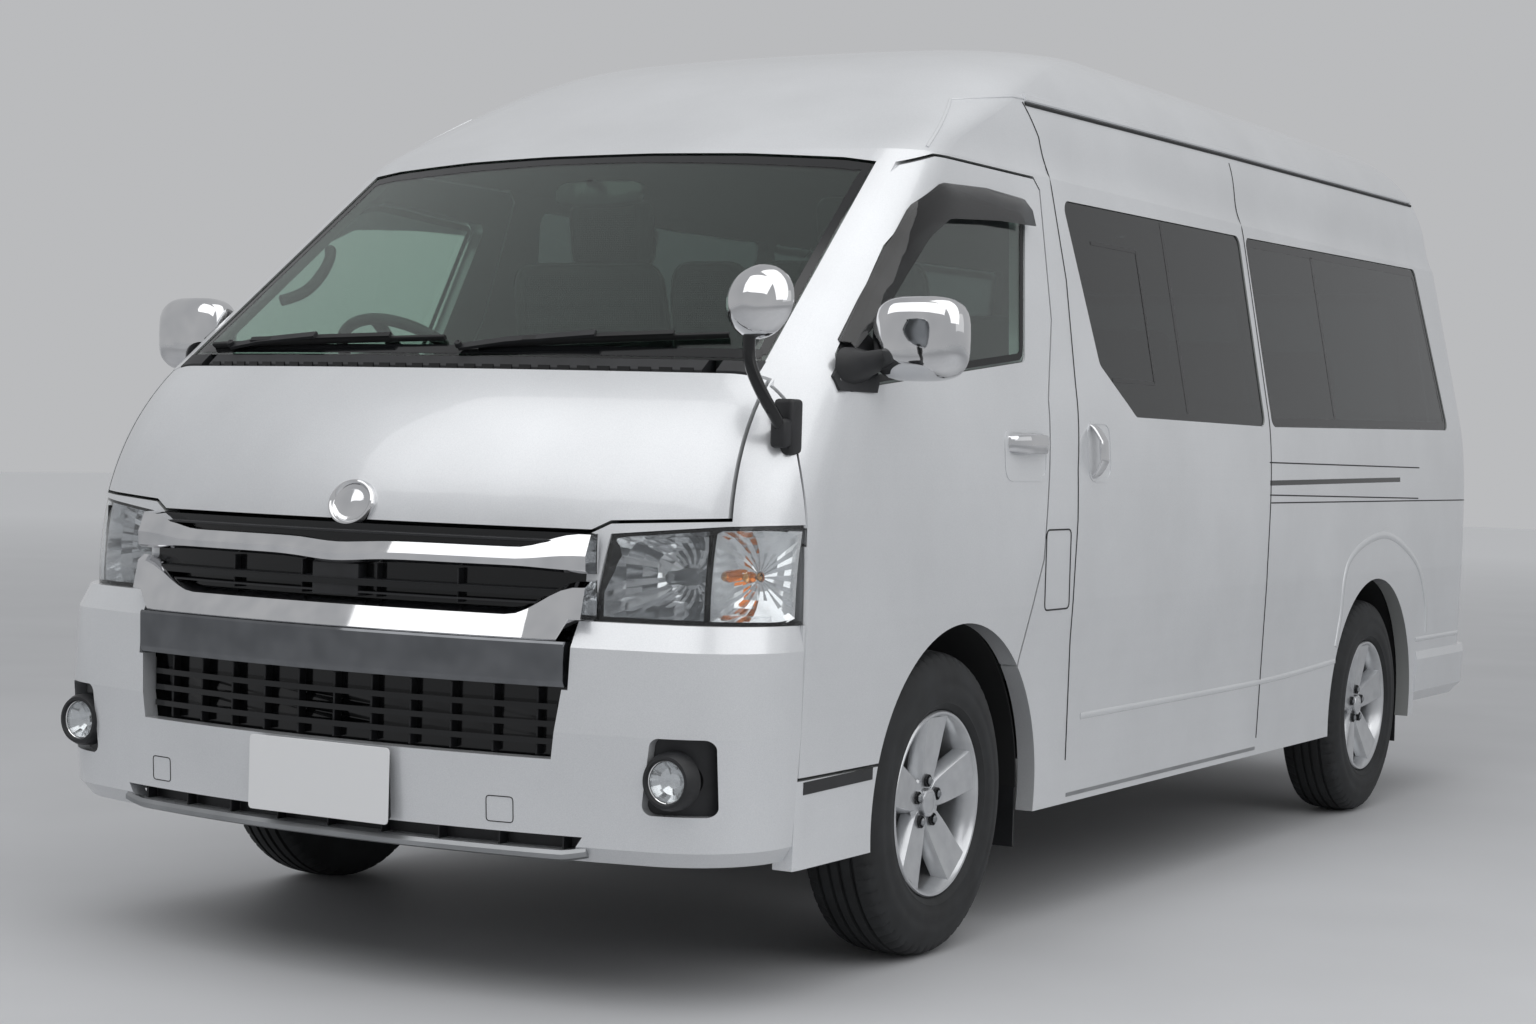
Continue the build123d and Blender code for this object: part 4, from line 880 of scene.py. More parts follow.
# %% Black slats, ribs and the middle block
SLAT_FRONT, SLAT_BACK = 34, 64
SLAT_SECTION = [(SLAT_FRONT, 2), (SLAT_FRONT, -2), (SLAT_BACK - 2, -4), (SLAT_BACK - 2, 4)]
SLAT_Z = (940, 841, 815)
LOWER_INTAKE_Z = (508, 644)
UPPER_INTAKE_Z = (806, 876)
slats = bmesh.new()
for z in SLAT_Z:
    xs = [27 * k for k in range(-20, 21)]
    loft_rings(slats, [[(x, NOSE + bow(x) + back, z + rise) for back, rise in SLAT_SECTION] for x in xs])
for x in range(-490, 491, 98):
    y = NOSE + bow(x)
    add_block(slats, (x - 2.5, x + 2.5), (y + 40, y + SLAT_BACK), LOWER_INTAKE_Z, 1.0, 1)
for x in (-300, -100, 100, 300):
    y = NOSE + bow(x)
    add_block(slats, (x - 2, x + 2), (y + 44, y + SLAT_BACK), UPPER_INTAKE_Z, 0.8, 1)
block_z = (UPPER_INTAKE_Z[0], UPPER_INTAKE_Z[1] - 2)
add_block(slats, (-62, 62), (NOSE + SLAT_FRONT, NOSE + SLAT_BACK), block_z, 4.0)
add_piece("grille_slats", slats, black_plastic, "body", "black_plastic")

# %% [markdown]
# ## Bumper fittings
# The bumper carries a blank plate, two covers over the towing eyes, a satin bar along its lower edge and a
# round fog lamp in a black recess at each end. A fog lamp is a plated bowl behind a thick clear lens, so
# both are made.

# %% Plate, covers and lower bar
PLATE_X, PLATE_Z = (-184, 190), (345, 503)
PLATE_Y = NOSE - 10
PLATE_T = 3
HOLDER_IN_X, HOLDER_IN_Z = 14, 7
TOW_COVERS_X = (-489, 432)
TOW_COVER_HALF = 30
TOW_COVER_Z = (370, 422)


def upright_plate(name, x, y, z, corner, depth, finish, slot, bevel=0.0):
    """A plate that faces the front, between two values across and two up, with rounded corners."""
    bm = bmesh.new()
    corners = rounded([(x[0], y, z[0]), (x[1], y, z[0]), (x[1], y, z[1]), (x[0], y, z[1])], corner)
    raise_plate(bm, corners, (0, depth, 0), bevel)
    add_piece(name, bm, finish, "body", slot)


upright_plate("blank_plate", PLATE_X, PLATE_Y, PLATE_Z, 10, PLATE_T, plate_white, "paint", 0.8)
holder_x = (PLATE_X[0] + HOLDER_IN_X, PLATE_X[1] - HOLDER_IN_X)
holder_z = (PLATE_Z[0] + HOLDER_IN_Z, PLATE_Z[1] - HOLDER_IN_Z)
holder_y = PLATE_Y + PLATE_T + 0.1
upright_plate("plate_holder", holder_x, holder_y, holder_z, 8, 30, black_plastic, "black_plastic")

covers = []
for x in TOW_COVERS_X:
    (left, right), (low, high) = (x - TOW_COVER_HALF, x + TOW_COVER_HALF), TOW_COVER_Z
    square = rounded([(left, low, 0), (right, low, 0), (right, high, 0), (left, high, 0)], 8)
    covers.append(skin_line([(point.x, point.y) for point in [*square, square[0]]], from_front, 0.1, 12))
add_lines("tow_cover_lines", covers, 1.1)

satin_bar = make_moulded("satin_silver_coating", "#8E9092", "#A2A4A6", 0.38, 4.0, 0.02, 0.8)
LOWER_BAR_HALF, LOWER_BAR_Z = 618, 312
LOWER_BAR_STEPS = 24
LOWER_BAR_SECTION = [(-11, -6), (-9, 6), (0, 10), (9, 6), (11, -6)]
bar_line = []
for k in range(-LOWER_BAR_STEPS, LOWER_BAR_STEPS + 1):
    x = LOWER_BAR_HALF * k / LOWER_BAR_STEPS
    bar_line.append(Vector((x, NOSE + bow(x) + 20, LOWER_BAR_Z + 12 * ease(abs(x), 560, 640))))
lower_bar = bmesh.new()
sweep_section(lower_bar, bar_line, LOWER_BAR_SECTION, (0, -1, 0.2))
add_piece("bumper_lower_bar", lower_bar, satin_bar, "body", "chrome")
slot_back = bmesh.new()
for x in range(-560, 561, 140):
    y = NOSE + bow(x)
    add_block(slot_back, (x - 2, x + 2), (y + 30, y + 58), (320, 353), 0.5, 1)
BACK_SECTION = [(60, 316), (60, 358), (66, 358), (66, 316)]
slot_rings = [[(x, NOSE + bow(x) + back, z) for back, z in BACK_SECTION] for x in range(-600, 601, 60)]
loft_rings(slot_back, slot_rings)
add_piece("bumper_slot_mesh", slot_back, black_plastic, "body", "black_plastic")

# %% Fog lamps
FOG_X, FOG_Y, FOG_Z = 790, -2584, 476
FOG_BOWL = [(2, 43), (0, 41), (-8, 36), (-18, 27), (-26, 15), (-28, 0.01)]
FOG_LENS = [(6, 0.01), (5, 20), (2, 38), (0, 42), (-3, 42), (-1, 37), (2, 20), (3, 0.01)]
FOG_RIM = [(-30, 44), (4, 42.6), (9, 46), (8, 52), (-4, 58), (-30, 60)]
for label, (side, _, _) in SIDES.items():
    where = (side * FOG_X, FOG_Y, FOG_Z), FORWARD
    bowl = turned(FOG_BOWL, 20, *where)
    reflector = add_piece(f"fog_reflector_{label}", bowl, lamp_plating, "body", "lamp_lens", sharp=12)
    add_piece(f"fog_lens_{label}", turned(FOG_LENS, 48, *where), lens_clear, "body", "lamp_lens")
    rim = turned(FOG_RIM, 48, *where, closed=True)
    add_piece(f"fog_rim_{label}", rim, black_plastic, "body", "black_plastic")
    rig.replaces(reflector, "fog_lamps")

# %% [markdown]
# ## Head lamps
# Behind each clear lens sit two plated bowls: a large one with many facets for the main beam and a taller
# one with an amber bulb for the turn signal, with a black wall between. A facet is a small flat mirror, so
# the bowls are lofted with few steps and kept flat between them.

# %% Lamp bowls
# columns: kind, outline, focus, depth, radius of the flat at the back
LAMP_BOWLS = [
    ("beam", [(608, 791), (808, 791), (808, 970), (722, 964), (626, 950), (608, 925)], (716, 872), 165, 26),
    ("signal", [(819, 789), (928, 789), (928, 974), (819, 970)], (864, 878), 120, 12),
]
# columns: share of the way in to the back, share of the depth
BOWL_RINGS = [(0.0, 0.0), (0.03, 0.06), (0.16, 0.35), (0.34, 0.6), (0.55, 0.8), (0.78, 0.94), (1.0, 1.0)]
BOWL_POINTS = 40
BOWL_SETBACK = 9
RIPPLE = 3.0


def add_lamp_bowl(name, side, outline, focus, depth, core):
    """A faceted bowl from an outline on the lens in to a flat round its focus."""
    bm = bmesh.new()
    front = resample([*outline, outline[0]], BOWL_POINTS + 1)[:-1]
    lips = [from_front(point.x, point.y) for point in front]
    base = min(lip.y for lip in lips if lip)
    middle = Vector((*focus, 0))
    rings = []
    for share, drop in BOWL_RINGS:
        ring = []
        for k, (point, lip) in enumerate(zip(front, lips)):
            lip_y = (lip.y if lip else base) + BOWL_SETBACK
            flat = point.lerp(middle + (point - middle).normalized() * core, share)
            ripple = RIPPLE * (k % 2) if 0.1 < share < 0.9 else 0
            ring.append((side * flat.x, lip_y * (1 - drop) + (base + depth) * drop + ripple, flat.y))
        rings.append(ring)
    loft_rings(bm, rings, capped=False)
    bm.faces.new([bm.verts.new(point) for point in rings[-1]])
    add_piece(name, bm, lamp_plating, "body", "lamp_housing", sharp=8)


# %% Head lamps on both sides
WALL_X, WALL_Z = 813, (796, 962)
BEAM_AT, SIGNAL_AT = (716, 872), (858, 878)
BEAM_CAP = [(60, 0.01), (58, 10), (52, 14), (20, 14), (0, 18), (-30, 18)]
SIGNAL_BULB = [(36, 0.01), (33, 8), (24, 12), (6, 11), (0, 8)]
for label, (side, _, _) in SIDES.items():
    for kind, outline, focus, depth, core in LAMP_BOWLS:
        add_lamp_bowl(f"lamp_bowl_{kind}_{label}", side, outline, focus, depth, core)
    wall = bmesh.new()
    wall_y = from_front(WALL_X, 880).y
    wall_x = (side * WALL_X - 2.5, side * WALL_X + 2.5)
    add_block(wall, wall_x, (wall_y + BOWL_SETBACK, wall_y + 120), WALL_Z, 1.0)
    add_piece(f"lamp_wall_{label}", wall, gloss_black, "body", "lamp_housing")
    # columns: piece, profile, steps, place, setback, finish, slot
    for name, profile, steps, (x, z), setback, finish, slot in (
        ("beam_bulb_cap", BEAM_CAP, 24, BEAM_AT, 110, nut_steel, "lamp_housing"),
        ("signal_bulb", SIGNAL_BULB, 20, SIGNAL_AT, 75, bulb_amber, "lamp_lens"),
    ):
        bulb = turned(profile, steps, (side * x, from_front(x, z).y + setback, z), FORWARD)
        add_piece(f"{name}_{label}", bulb, finish, "body", slot)

# %% [markdown]
# ## Mirrors
# The door mirrors are chromed shells on black feet, with the glass set back in the rear face. A curved
# mirror on a black stalk stands on the front corner so that the driver can see the road beside the bumper.
# A shell is moulded, so it is a stack of rounded outlines, widest in its middle.

# %% Door mirrors
def squircle(width, height, count=40, power=3.4):
    """An outline between an ellipse and a rectangle."""
    points = []
    for k in range(count):
        angle = 2 * pi * k / count
        c, s = cos(angle), sin(angle)
        points.append((
            width / 2 * (abs(c) ** (2 / power)) * (1 if c >= 0 else -1),
            height / 2 * (abs(s) ** (2 / power)) * (1 if s >= 0 else -1),
        ))
    return points


MIRROR_HEAD = (1015, -1986, 1379)
MIRROR_OUTLINE = squircle(214, 182)
MIRROR_LEAN = 10
# columns: place along Y, share of the full outline
SHELL_RINGS = [(-52, 0.42), (-50, 0.6), (-44, 0.78), (-34, 0.9), (-18, 0.98), (0, 1.0), (22, 0.985), (30, 0.96)]
HOLLOW_RINGS = [(31, 0.9), (22, 0.88)]
GLASS_RINGS = [(21, 0.87), (25, 0.87), (26, 0.84)]
FOOT_AT = (-2085, 1310)
FOOT_OUTLINE = squircle(2, 2, 24, 2.6)
# columns: place along X from the door, Y, Z, half depth, half height
FOOT_RINGS = [
    (-6, -2085, 1312, 62, 44), (8, -2080, 1314, 56, 40), (22, -2055, 1322, 40, 27), (38, -2020, 1334, 30, 21),
    (62, -1992, 1346, 26, 18),
]
SAIL = [(-2160, 1262), (-2012, 1262), (-1990, 1282), (-1990, 1378), (-2012, 1400), (-2128, 1318), (-2160, 1292)]
SAIL_FACES = (0.3, 7.0)


def mirror_ring(side, along, share, shift=0.0):
    """The head's outline at a place along Y, scaled by share and moved towards the door by shift."""
    x, y, z = MIRROR_HEAD
    return [(side * (x + a * share - shift), y + along, z + b * share) for a, b in MIRROR_OUTLINE]


for label, (side, cast, door) in SIDES.items():
    shell, glass, foot, sail = bmesh.new(), bmesh.new(), bmesh.new(), bmesh.new()
    outer = [mirror_ring(side, along, share, (1 - share) * MIRROR_LEAN) for along, share in SHELL_RINGS]
    loft_rings(shell, outer + [mirror_ring(side, *row) for row in HOLLOW_RINGS])
    mirror = add_piece(f"mirror_shell_{label}", shell, chrome, door, "chrome", sharp=40)
    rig.replaces(mirror, f"door_mirror_{label}")
    loft_rings(glass, [mirror_ring(side, *row) for row in GLASS_RINGS])
    add_piece(f"mirror_glass_{label}", glass, nut_steel, door, "chrome")
    door_x = abs(cast(*FOOT_AT).x)
    rings = []
    for out, y, z, half_y, half_z in FOOT_RINGS:
        rings.append([(side * (door_x + out), y + a * half_y, z + b * half_z) for a, b in FOOT_OUTLINE])
    loft_rings(foot, rings)
    add_piece(f"mirror_foot_{label}", foot, black_plastic, door, "black_plastic")
    on_door = [point for point in (cast(a, b) for a, b in SAIL) if point]
    loft_rings(sail, [[(point.x + side * out, point.y, point.z) for point in on_door] for out in SAIL_FACES])
    add_piece(f"mirror_sail_{label}", sail, black_plastic, door, "black_plastic")

# %% Corner mirror on its stalk
DOME_AT, DOME_FACING = (873, -2430, 1434), (0.12, 1, -0.25)
DOME_PROFILE = [
    (-46, 0.01), (-45, 18), (-40, 40), (-31, 58), (-18, 71), (-4, 77), (8, 78), (13, 76), (14, 72), (9, 70),
]
PANE_PROFILE = [(8, 71), (10, 60), (15, 35), (17, 0.01)]
STALK_R = 13
STALK = [
    (893, -2352, 1178), (892, -2378, 1205), (884, -2410, 1240), (868, -2432, 1290), (860, -2438, 1330),
    (862, -2436, 1372),
]
dome = turned(DOME_PROFILE, 48, DOME_AT, DOME_FACING, ACROSS)
corner_head = add_piece("corner_mirror_dome", dome, chrome, "body", "chrome")
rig.replaces(corner_head, "corner_mirror")
pane = turned(PANE_PROFILE, 48, DOME_AT, DOME_FACING, ACROSS)
add_piece("corner_mirror_pane", pane, nut_steel, "body", "chrome")
add_tube("corner_mirror_stalk", STALK, STALK_R, gloss_black, "body", "black_plastic")
foot = bmesh.new()
wing_y = from_front(868, 1190).y
add_block(foot, (866, 912), (wing_y - 18, wing_y + 30), (1126, 1240), 9.0, 3)
add_block(foot, (874, 910), (wing_y - 44, wing_y - 6), (1140, 1200), 9.0, 3)
add_piece("corner_mirror_foot", foot, black_plastic, "body", "black_plastic")

# %% [markdown]
# ## Shut lines and mouldings
# The sliding door, the rear quarter and the fuel flap show as thin dark lines where two pressings meet. Each
# is a thin rod of rubber half sunk in the skin along the line. A gloss black strip in the sliding door's rail
# is painted shade in its slot, and a dark rod under the roof cap's drip moulding is painted shade beneath it.

# %% Shut lines on both sides
ROOF_DRIP = [(-991, 2022), (426, 2046), (2310, 2072)]
FRONT_DRIP = [(-1538, 1840), (-1280, 1985), (-1060, 2018), (-991, 2022)]
SLIDING_SEAM = [
    (-1004, 2010), (-936, 1930), (-915, 1863), (-903, 1577), (-938, 1327), (-964, 1105), (-961, 981),
    (-982, 686), (-975, 388),
]
QUARTER_SEAM = [(441, 2012), (455, 1795), (441, 1229), (432, 1000), (398, 330)]
RAIL = [(428, 1074), (1700, 1087)]
FLAP = rounded([(-1144, 765, 0), (-1000, 765, 0), (-1000, 959, 0), (-1144, 959, 0)], 16)
FLAP_LINE = [(point.x, point.y) for point in [*FLAP, FLAP[0]]]
WAIST_LINE = [(440, 1016), (2480, 1016)]
SHUT_LINE_R = 2.2
# columns: points, height over the skin, step
SHUT_LINES = {
    "left": [
        (SLIDING_SEAM, -0.4, 25),
        (QUARTER_SEAM, -0.4, 25),
        (FLAP_LINE, -0.4, 12),
        ([(426, 1134), (1919, 1128)], -0.6, 25),
        ([(428, 1039), (1907, 1024)], -0.6, 25),
        (WAIST_LINE, -0.8, 25),
    ],
    "right": [([(455, 2012), (455, 1229), (400, 330)], -0.4, 25), (WAIST_LINE, -0.8, 25)],
}
for label, (side, cast, _) in SIDES.items():
    runs = [skin_line(points, cast, proud, step) for points, proud, step in SHUT_LINES[label]]
    add_lines(f"shut_lines_{label}", runs, SHUT_LINE_R)

# the rail's slot is drawn as a gloss black strip: painted shade in the slot
add_piece("sliding_door_rail_slot_shade", strips(from_left, (RAIL, 7.5, -2.0, 0.5)), gloss_black, "body", "black_plastic")

# %% Drip moulding along the edge of the roof cap
for label, (side, cast, _) in SIDES.items():
    drip = strips(cast, (ROOF_DRIP, 10.0, -3.0, 7.0, 40.0, 3.0), (FRONT_DRIP, 4.0, -3.0, 2.5, 25.0, 1.0))
    add_piece(f"roof_drip_moulding_{label}", drip, body_paint, "body", "paint")
    # a dark rubber rod just under the drip moulding's lower edge is painted shade beneath it
    edge = [skin_line([(a, b - 15) for a, b in ROOF_DRIP], cast, 0.5, 40.0)]
    add_lines(f"roof_drip_shade_line_{label}", edge, 4.5)

# %% [markdown]
# ### Window frames
# A black ceramic band is fired on the edge of every bonded pane and hides the glue. It lies on the inner
# face, so it is made as a thin sheet just over the glass's edge here, with the joints between the side
# panes.

# %% Bands round the panes
BAND_POINTS = 120


def band_round(bm, outline, cast, width, lift, depth=1.2):
    """A flat band inside a closed outline on the skin."""
    middle = sum((Vector((a, b)) for a, b in outline), Vector((0, 0))) / len(outline)
    outer = resample([*outline, outline[0]], BAND_POINTS + 1)[:-1]
    rings = []
    for inset, low in ((0, lift), (width, lift), (width, lift - depth), (0, lift - depth)):
        ring = []
        for k, point in enumerate(outer):
            along = (outer[(k + 1) % len(outer)] - outer[k - 1]).normalized()
            inward = Vector((-along.y, along.x, 0))
            if inward.dot(Vector((middle.x, middle.y, 0)) - point) < 0:
                inward = -inward
            spot = point + inward * inset
            ring.append(cast(spot.x, spot.y, low))
        rings.append(ring)
    if any(point is None for ring in rings for point in ring):
        print("a band left the skin")
        return
    rings.append(rings[0])
    loft_rings(bm, rings, capped=False)


def outline_2d(points, radius):
    return [(p.x, p.y) for p in rounded([(a, b, 0) for a, b in points], radius)]


FRONT_PANE = [(-575, 1246), (400, 1243), (413, 1790), (-848, 1777), (-762, 1371)]
REAR_PANE = [(467, 1243), (2293, 1267), (2178, 1816), (473, 1790)]
PANE_JOINTS_Y = (-190, 1066)
# the frame of the small opening pane in the sliding door
SLIDER_FRAME = [[(-402, 1335), (-402, 1685)], [(-690, 1335), (-402, 1335)], [(-704, 1685), (-402, 1685)]]
for label, (side, cast, door) in SIDES.items():
    bands = bmesh.new()
    for pane_outline in (FRONT_PANE, REAR_PANE):
        band_round(bands, outline_2d(pane_outline, 34), cast, 22, 0.5)
    for y in PANE_JOINTS_Y:
        strip_on_skin(bands, [(y, 1262), (y, 1780)], cast, 9, -1.0, 0.5)
    if label == "left":
        for ends in SLIDER_FRAME:
            strip_on_skin(bands, ends, cast, 5, -1.0, 0.8)
    add_piece(f"window_bands_{label}", bands, gloss_black, "body", "dark_glass")

# %% [markdown]
# ## Door handles and visors
# Pull handles are plated bars over a shallow cup. A smoked acrylic visor follows the top edge of each front
# window, so that the glass can be open a little in the rain.

# %% Handles
HANDLE_REACH = 34
HANDLE_STEPS = 16
HANDLE_HALF_T = 7
HANDLE_OUTLINE = squircle(2, 2, 16, 2.8)


def add_handle(name, cast, body, y_range, z_range):
    """A bow that stands off the skin along the longer of its two ranges."""
    (y0, y1), (z0, z1) = y_range, z_range
    long_y = y1 - y0 > z1 - z0
    bm = bmesh.new()
    rings = []
    for k in range(HANDLE_STEPS + 1):
        t = k / HANDLE_STEPS
        lift = HANDLE_REACH * min(1.0, 3.2 * min(t, 1 - t)) ** 0.6
        width = 1.0 - 0.25 * abs(2 * t - 1) ** 3
        y = y0 + (y1 - y0) * t if long_y else (y0 + y1) / 2
        z = (z0 + z1) / 2 if long_y else z0 + (z1 - z0) * t
        base = cast(y, z)
        side = 1 if base.x > 0 else -1
        half = width * ((z1 - z0) if long_y else (y1 - y0)) / 2
        ring = []
        for a, b in HANDLE_OUTLINE:
            x = base.x + side * (lift - 6 + b * HANDLE_HALF_T)
            ring.append((x, y, z + a * half) if long_y else (x, y + a * half, z))
        rings.append(ring)
    loft_rings(bm, rings)
    add_piece(name, bm, chrome, body, "chrome", sharp=50)


def add_cup(name, cast, body, outline):
    """A shallow cup behind a handle, drawn as a raised edge round a flat floor."""
    bm = bmesh.new()
    band_round(bm, outline, cast, 10, 1.4, 2.0)
    loft_rings(bm, [[cast(a, b, proud) for a, b in outline] for proud in (0.35, -1.0)])
    add_piece(name, bm, body_paint, body, "paint")


DOOR_CUP = outline_2d([(-1384, 1076), (-1150, 1076), (-1140, 1200), (-1384, 1200)], 40)
SLIDING_CUP = outline_2d([(-900, 1075), (-750, 1075), (-750, 1230), (-900, 1230)], 45)
for label, (side, cast, door) in SIDES.items():
    add_handle(f"door_handle_{label}", cast, door, (-1364, -1148), (1141, 1187))
    add_cup(f"door_handle_cup_{label}", cast, door, DOOR_CUP)
add_handle("sliding_door_handle", from_left, "body", (-885, -842), (1083, 1221))
add_cup("sliding_door_handle_cup", from_left, "body", SLIDING_CUP)

# %% Visors over the front windows
VISOR_TOP = [
    (-2090, 1372), (-1977, 1466), (-1870, 1551), (-1697, 1690), (-1543, 1757), (-1300, 1768), (-1100, 1762),
]
VISOR_LOW = [
    (-2078, 1352), (-1940, 1440), (-1826, 1522), (-1680, 1620), (-1560, 1672), (-1300, 1690), (-1096, 1694),
]
VISOR_POINTS = 40
WINDOW_SEAL = [
    (-2140, 1261), (-1979, 1286), (-1226, 1365), (-1104, 1717), (-1530, 1740), (-1637, 1707), (-1826, 1586),
    (-2114, 1336),
]
for label, (side, cast, door) in SIDES.items():
    visor = bmesh.new()
    rings = []
    for upper, lower in zip(resample(VISOR_TOP, VISOR_POINTS), resample(VISOR_LOW, VISOR_POINTS)):
        a, b = cast(upper.x, upper.y, 0), cast(lower.x, lower.y, 0)
        mid = (a + b) / 2
        rings.append([
            (a.x + side * 1.0, a.y, a.z), (a.x + side * 8, a.y, a.z - 4), (mid.x + side * 22, mid.y, mid.z + 4),
            (b.x + side * 25, b.y, b.z), (b.x + side * 22, b.y, b.z), (mid.x + side * 19, mid.y, mid.z + 3),
            (a.x + side * 5, a.y, a.z - 7),
        ])
    loft_rings(visor, rings)
    add_piece(f"door_visor_{label}", visor, visor_acrylic, door, "dark_glass", sharp=50)
    seals = bmesh.new()
    band_round(seals, outline_2d(WINDOW_SEAL, 22), cast, 16, 1.0)
    add_piece(f"door_window_seal_{label}", seals, seal_rubber, door, "black_plastic")

# %% [markdown]
# ## Windscreen, wipers and cowl
# The windscreen is glued behind a black ceramic band. Two arms park along the cowl with their blades on the
# glass. An arm is a steel pressing painted black, and a blade is a rubber lip in a slim bridge.

# %% Band, arms and blades
HALF_SCREEN_EDGE = [(780, 1324), (712, 1790), (638, 1800), (400, 1813), (150, 1822)]
SCREEN_EDGE = [(-x, z) for x, z in HALF_SCREEN_EDGE] + HALF_SCREEN_EDGE[::-1]
screen_band = bmesh.new()
band_round(screen_band, SCREEN_EDGE, from_front, 20, 0.4, 1.0)
strip_on_skin(screen_band, [(-770, 1334), (770, 1334)], from_front, 14, -0.8, 0.5, 40.0)
add_piece("windscreen_band", screen_band, gloss_black, "body", "clear_glass")

# columns: foot of the arm, ends of the blade as (x, z) on the glass
WIPERS = [((-640, 1332), (-716, 1336), (15, 1354)), ((75, 1332), (117, 1338), (680, 1368))]
SCREEN_OUT = (0, -0.7, 0.7)
ARM_SECTION = [(-9, -3), (-8, 4), (8, 4), (9, -3)]
PIVOT_PROFILE = [(-8, 13), (3, 13), (8, 9), (9, 0.01)]
LIP_SECTION = [(-3.5, -6), (-5, 2), (-3, 7), (3, 7), (5, 2), (3.5, -6)]
BRIDGE_SECTION = [(-6, -3), (-6, 3), (6, 3), (6, -3)]
arms, blades = bmesh.new(), bmesh.new()
for foot_at, (x0, z0), (x1, z1) in WIPERS:
    base = from_front(*foot_at, 8)
    middle = from_front((x0 + x1) / 2, (z0 + z1) / 2, 24)
    knee = base.lerp(middle, 0.35) + Vector((0, -2, 4))
    sweep_section(arms, sample_line([base, knee, middle], 20), ARM_SECTION, SCREEN_OUT)
    turn_profile(arms, PIVOT_PROFILE, 24, base, (0, -0.62, 0.78))
    lip = skin_line([(x0, z0), (x1, z1)], from_front, 7, 30)
    sweep_section(blades, lip, LIP_SECTION, SCREEN_OUT)
    ends = [(x0 * (1 - t) + x1 * t, z0 * (1 - t) + z1 * t) for t in (0.2, 0.8)]
    sweep_section(blades, skin_line(ends, from_front, 18, 30), BRIDGE_SECTION, SCREEN_OUT)
add_piece("wiper_arms", arms, black_plastic, "body", "black_plastic")
add_piece("wiper_blades", blades, seal_rubber, "body", "black_plastic")

VENT_PITCH, VENT_HALF, VENT_Z = 46, 14, 1296
vents = bmesh.new()
for k in range(-15, 16):
    ends = [(VENT_PITCH * k - VENT_HALF, VENT_Z), (VENT_PITCH * k + VENT_HALF, VENT_Z)]
    strip_on_skin(vents, ends, from_front, 5, -1, 2.5, 8.0)
add_piece("cowl_vents", vents, gloss_black, "body", "black_plastic")

# %% Bare badge on the bonnet
BADGE_Z = 998
BADGE_R = 60
BADGE_SQUASH = 0.85
BADGE_PROFILE = [
    (-6, BADGE_R), (6, BADGE_R), (11, 57), (12, 53), (10, 49), (6, 46), (5, 41), (7, 24), (8, 0.01),
]
seat = from_front(0, BADGE_Z)
lean = (from_front(0, BADGE_Z, 10) - seat).normalized()
badge = turned(BADGE_PROFILE, 64, seat, lean, ACROSS)
for vert in badge.verts:
    vert.co.z = seat.z + (vert.co.z - seat.z) * BADGE_SQUASH
add_piece("bonnet_badge_bare", badge, chrome, "bonnet", "chrome")

# %% [markdown]
# ## Seats
# The seats have foam pads in sewn cloth covers. A pad is a closed form that is fullest in the middle, with
# bolsters along its sides and sewn channels across it. Each is lofted from rounded sections whose thickness
# follows those curves, and a thin welt runs round its edge.

# %% A sewn pad
WELT_R = 3.2


def add_pad(bm, size, centre, tilt, channels=(), dish=12.0, corner=70.0):
    """size is (width, thickness, length). The pad stands on its end and leans back by tilt degrees."""
    width, thick, length = size
    turn = Matrix.Rotation(radians(-tilt), 3, "X")
    rings = []
    for k in range(37):
        u = -cos(pi * k / 36)
        end = max(1 - abs(u) ** 6, 0.0) ** (1 / 3)
        half = width / 2 - corner * (1 - end)
        full = thick / 2 * (0.12 + 0.88 * end) * (0.9 + 0.1 * (1 - u * u))
        for channel in channels:
            full -= 9 * exp(-(((u - channel) * length / 2 / 8) ** 2))
        ring = []
        for a, b in squircle(2, 2, 36, 2.7):
            w = b * full
            if b < 0:
                w += dish * (1 - min(abs(a) * 1.25, 1.0) ** 2) * end
                w -= 7 * exp(-(((abs(a) - 0.8) / 0.12) ** 2)) * end * (1 if abs(a) < 0.97 else 0)
                w += 6 * exp(-(((abs(a) - 0.66) / 0.03) ** 2)) * end
            ring.append(Vector(centre) + turn @ Vector((a * half, w, u * length / 2)))
        rings.append(ring)
    loft_rings(bm, rings)


def add_welt(bm, size, centre, tilt, corner=70.0):
    """A thin rod sewn round the edge of a pad of the same size, place and tilt."""
    width, _, length = size
    turn = Matrix.Rotation(radians(-tilt), 3, "X")
    half, tall = width / 2 - 1, length / 2 - 1
    outline = rounded([(-half, 0, -tall), (half, 0, -tall), (half, 0, tall), (-half, 0, tall)], corner, 6)
    line = [Vector(centre) + turn @ point for point in outline]
    ring = [(WELT_R * a, WELT_R * b) for a, b in ROUND_RING]
    sweep_section(bm, line, ring, (0.02, 1, 0.1), closed=True)


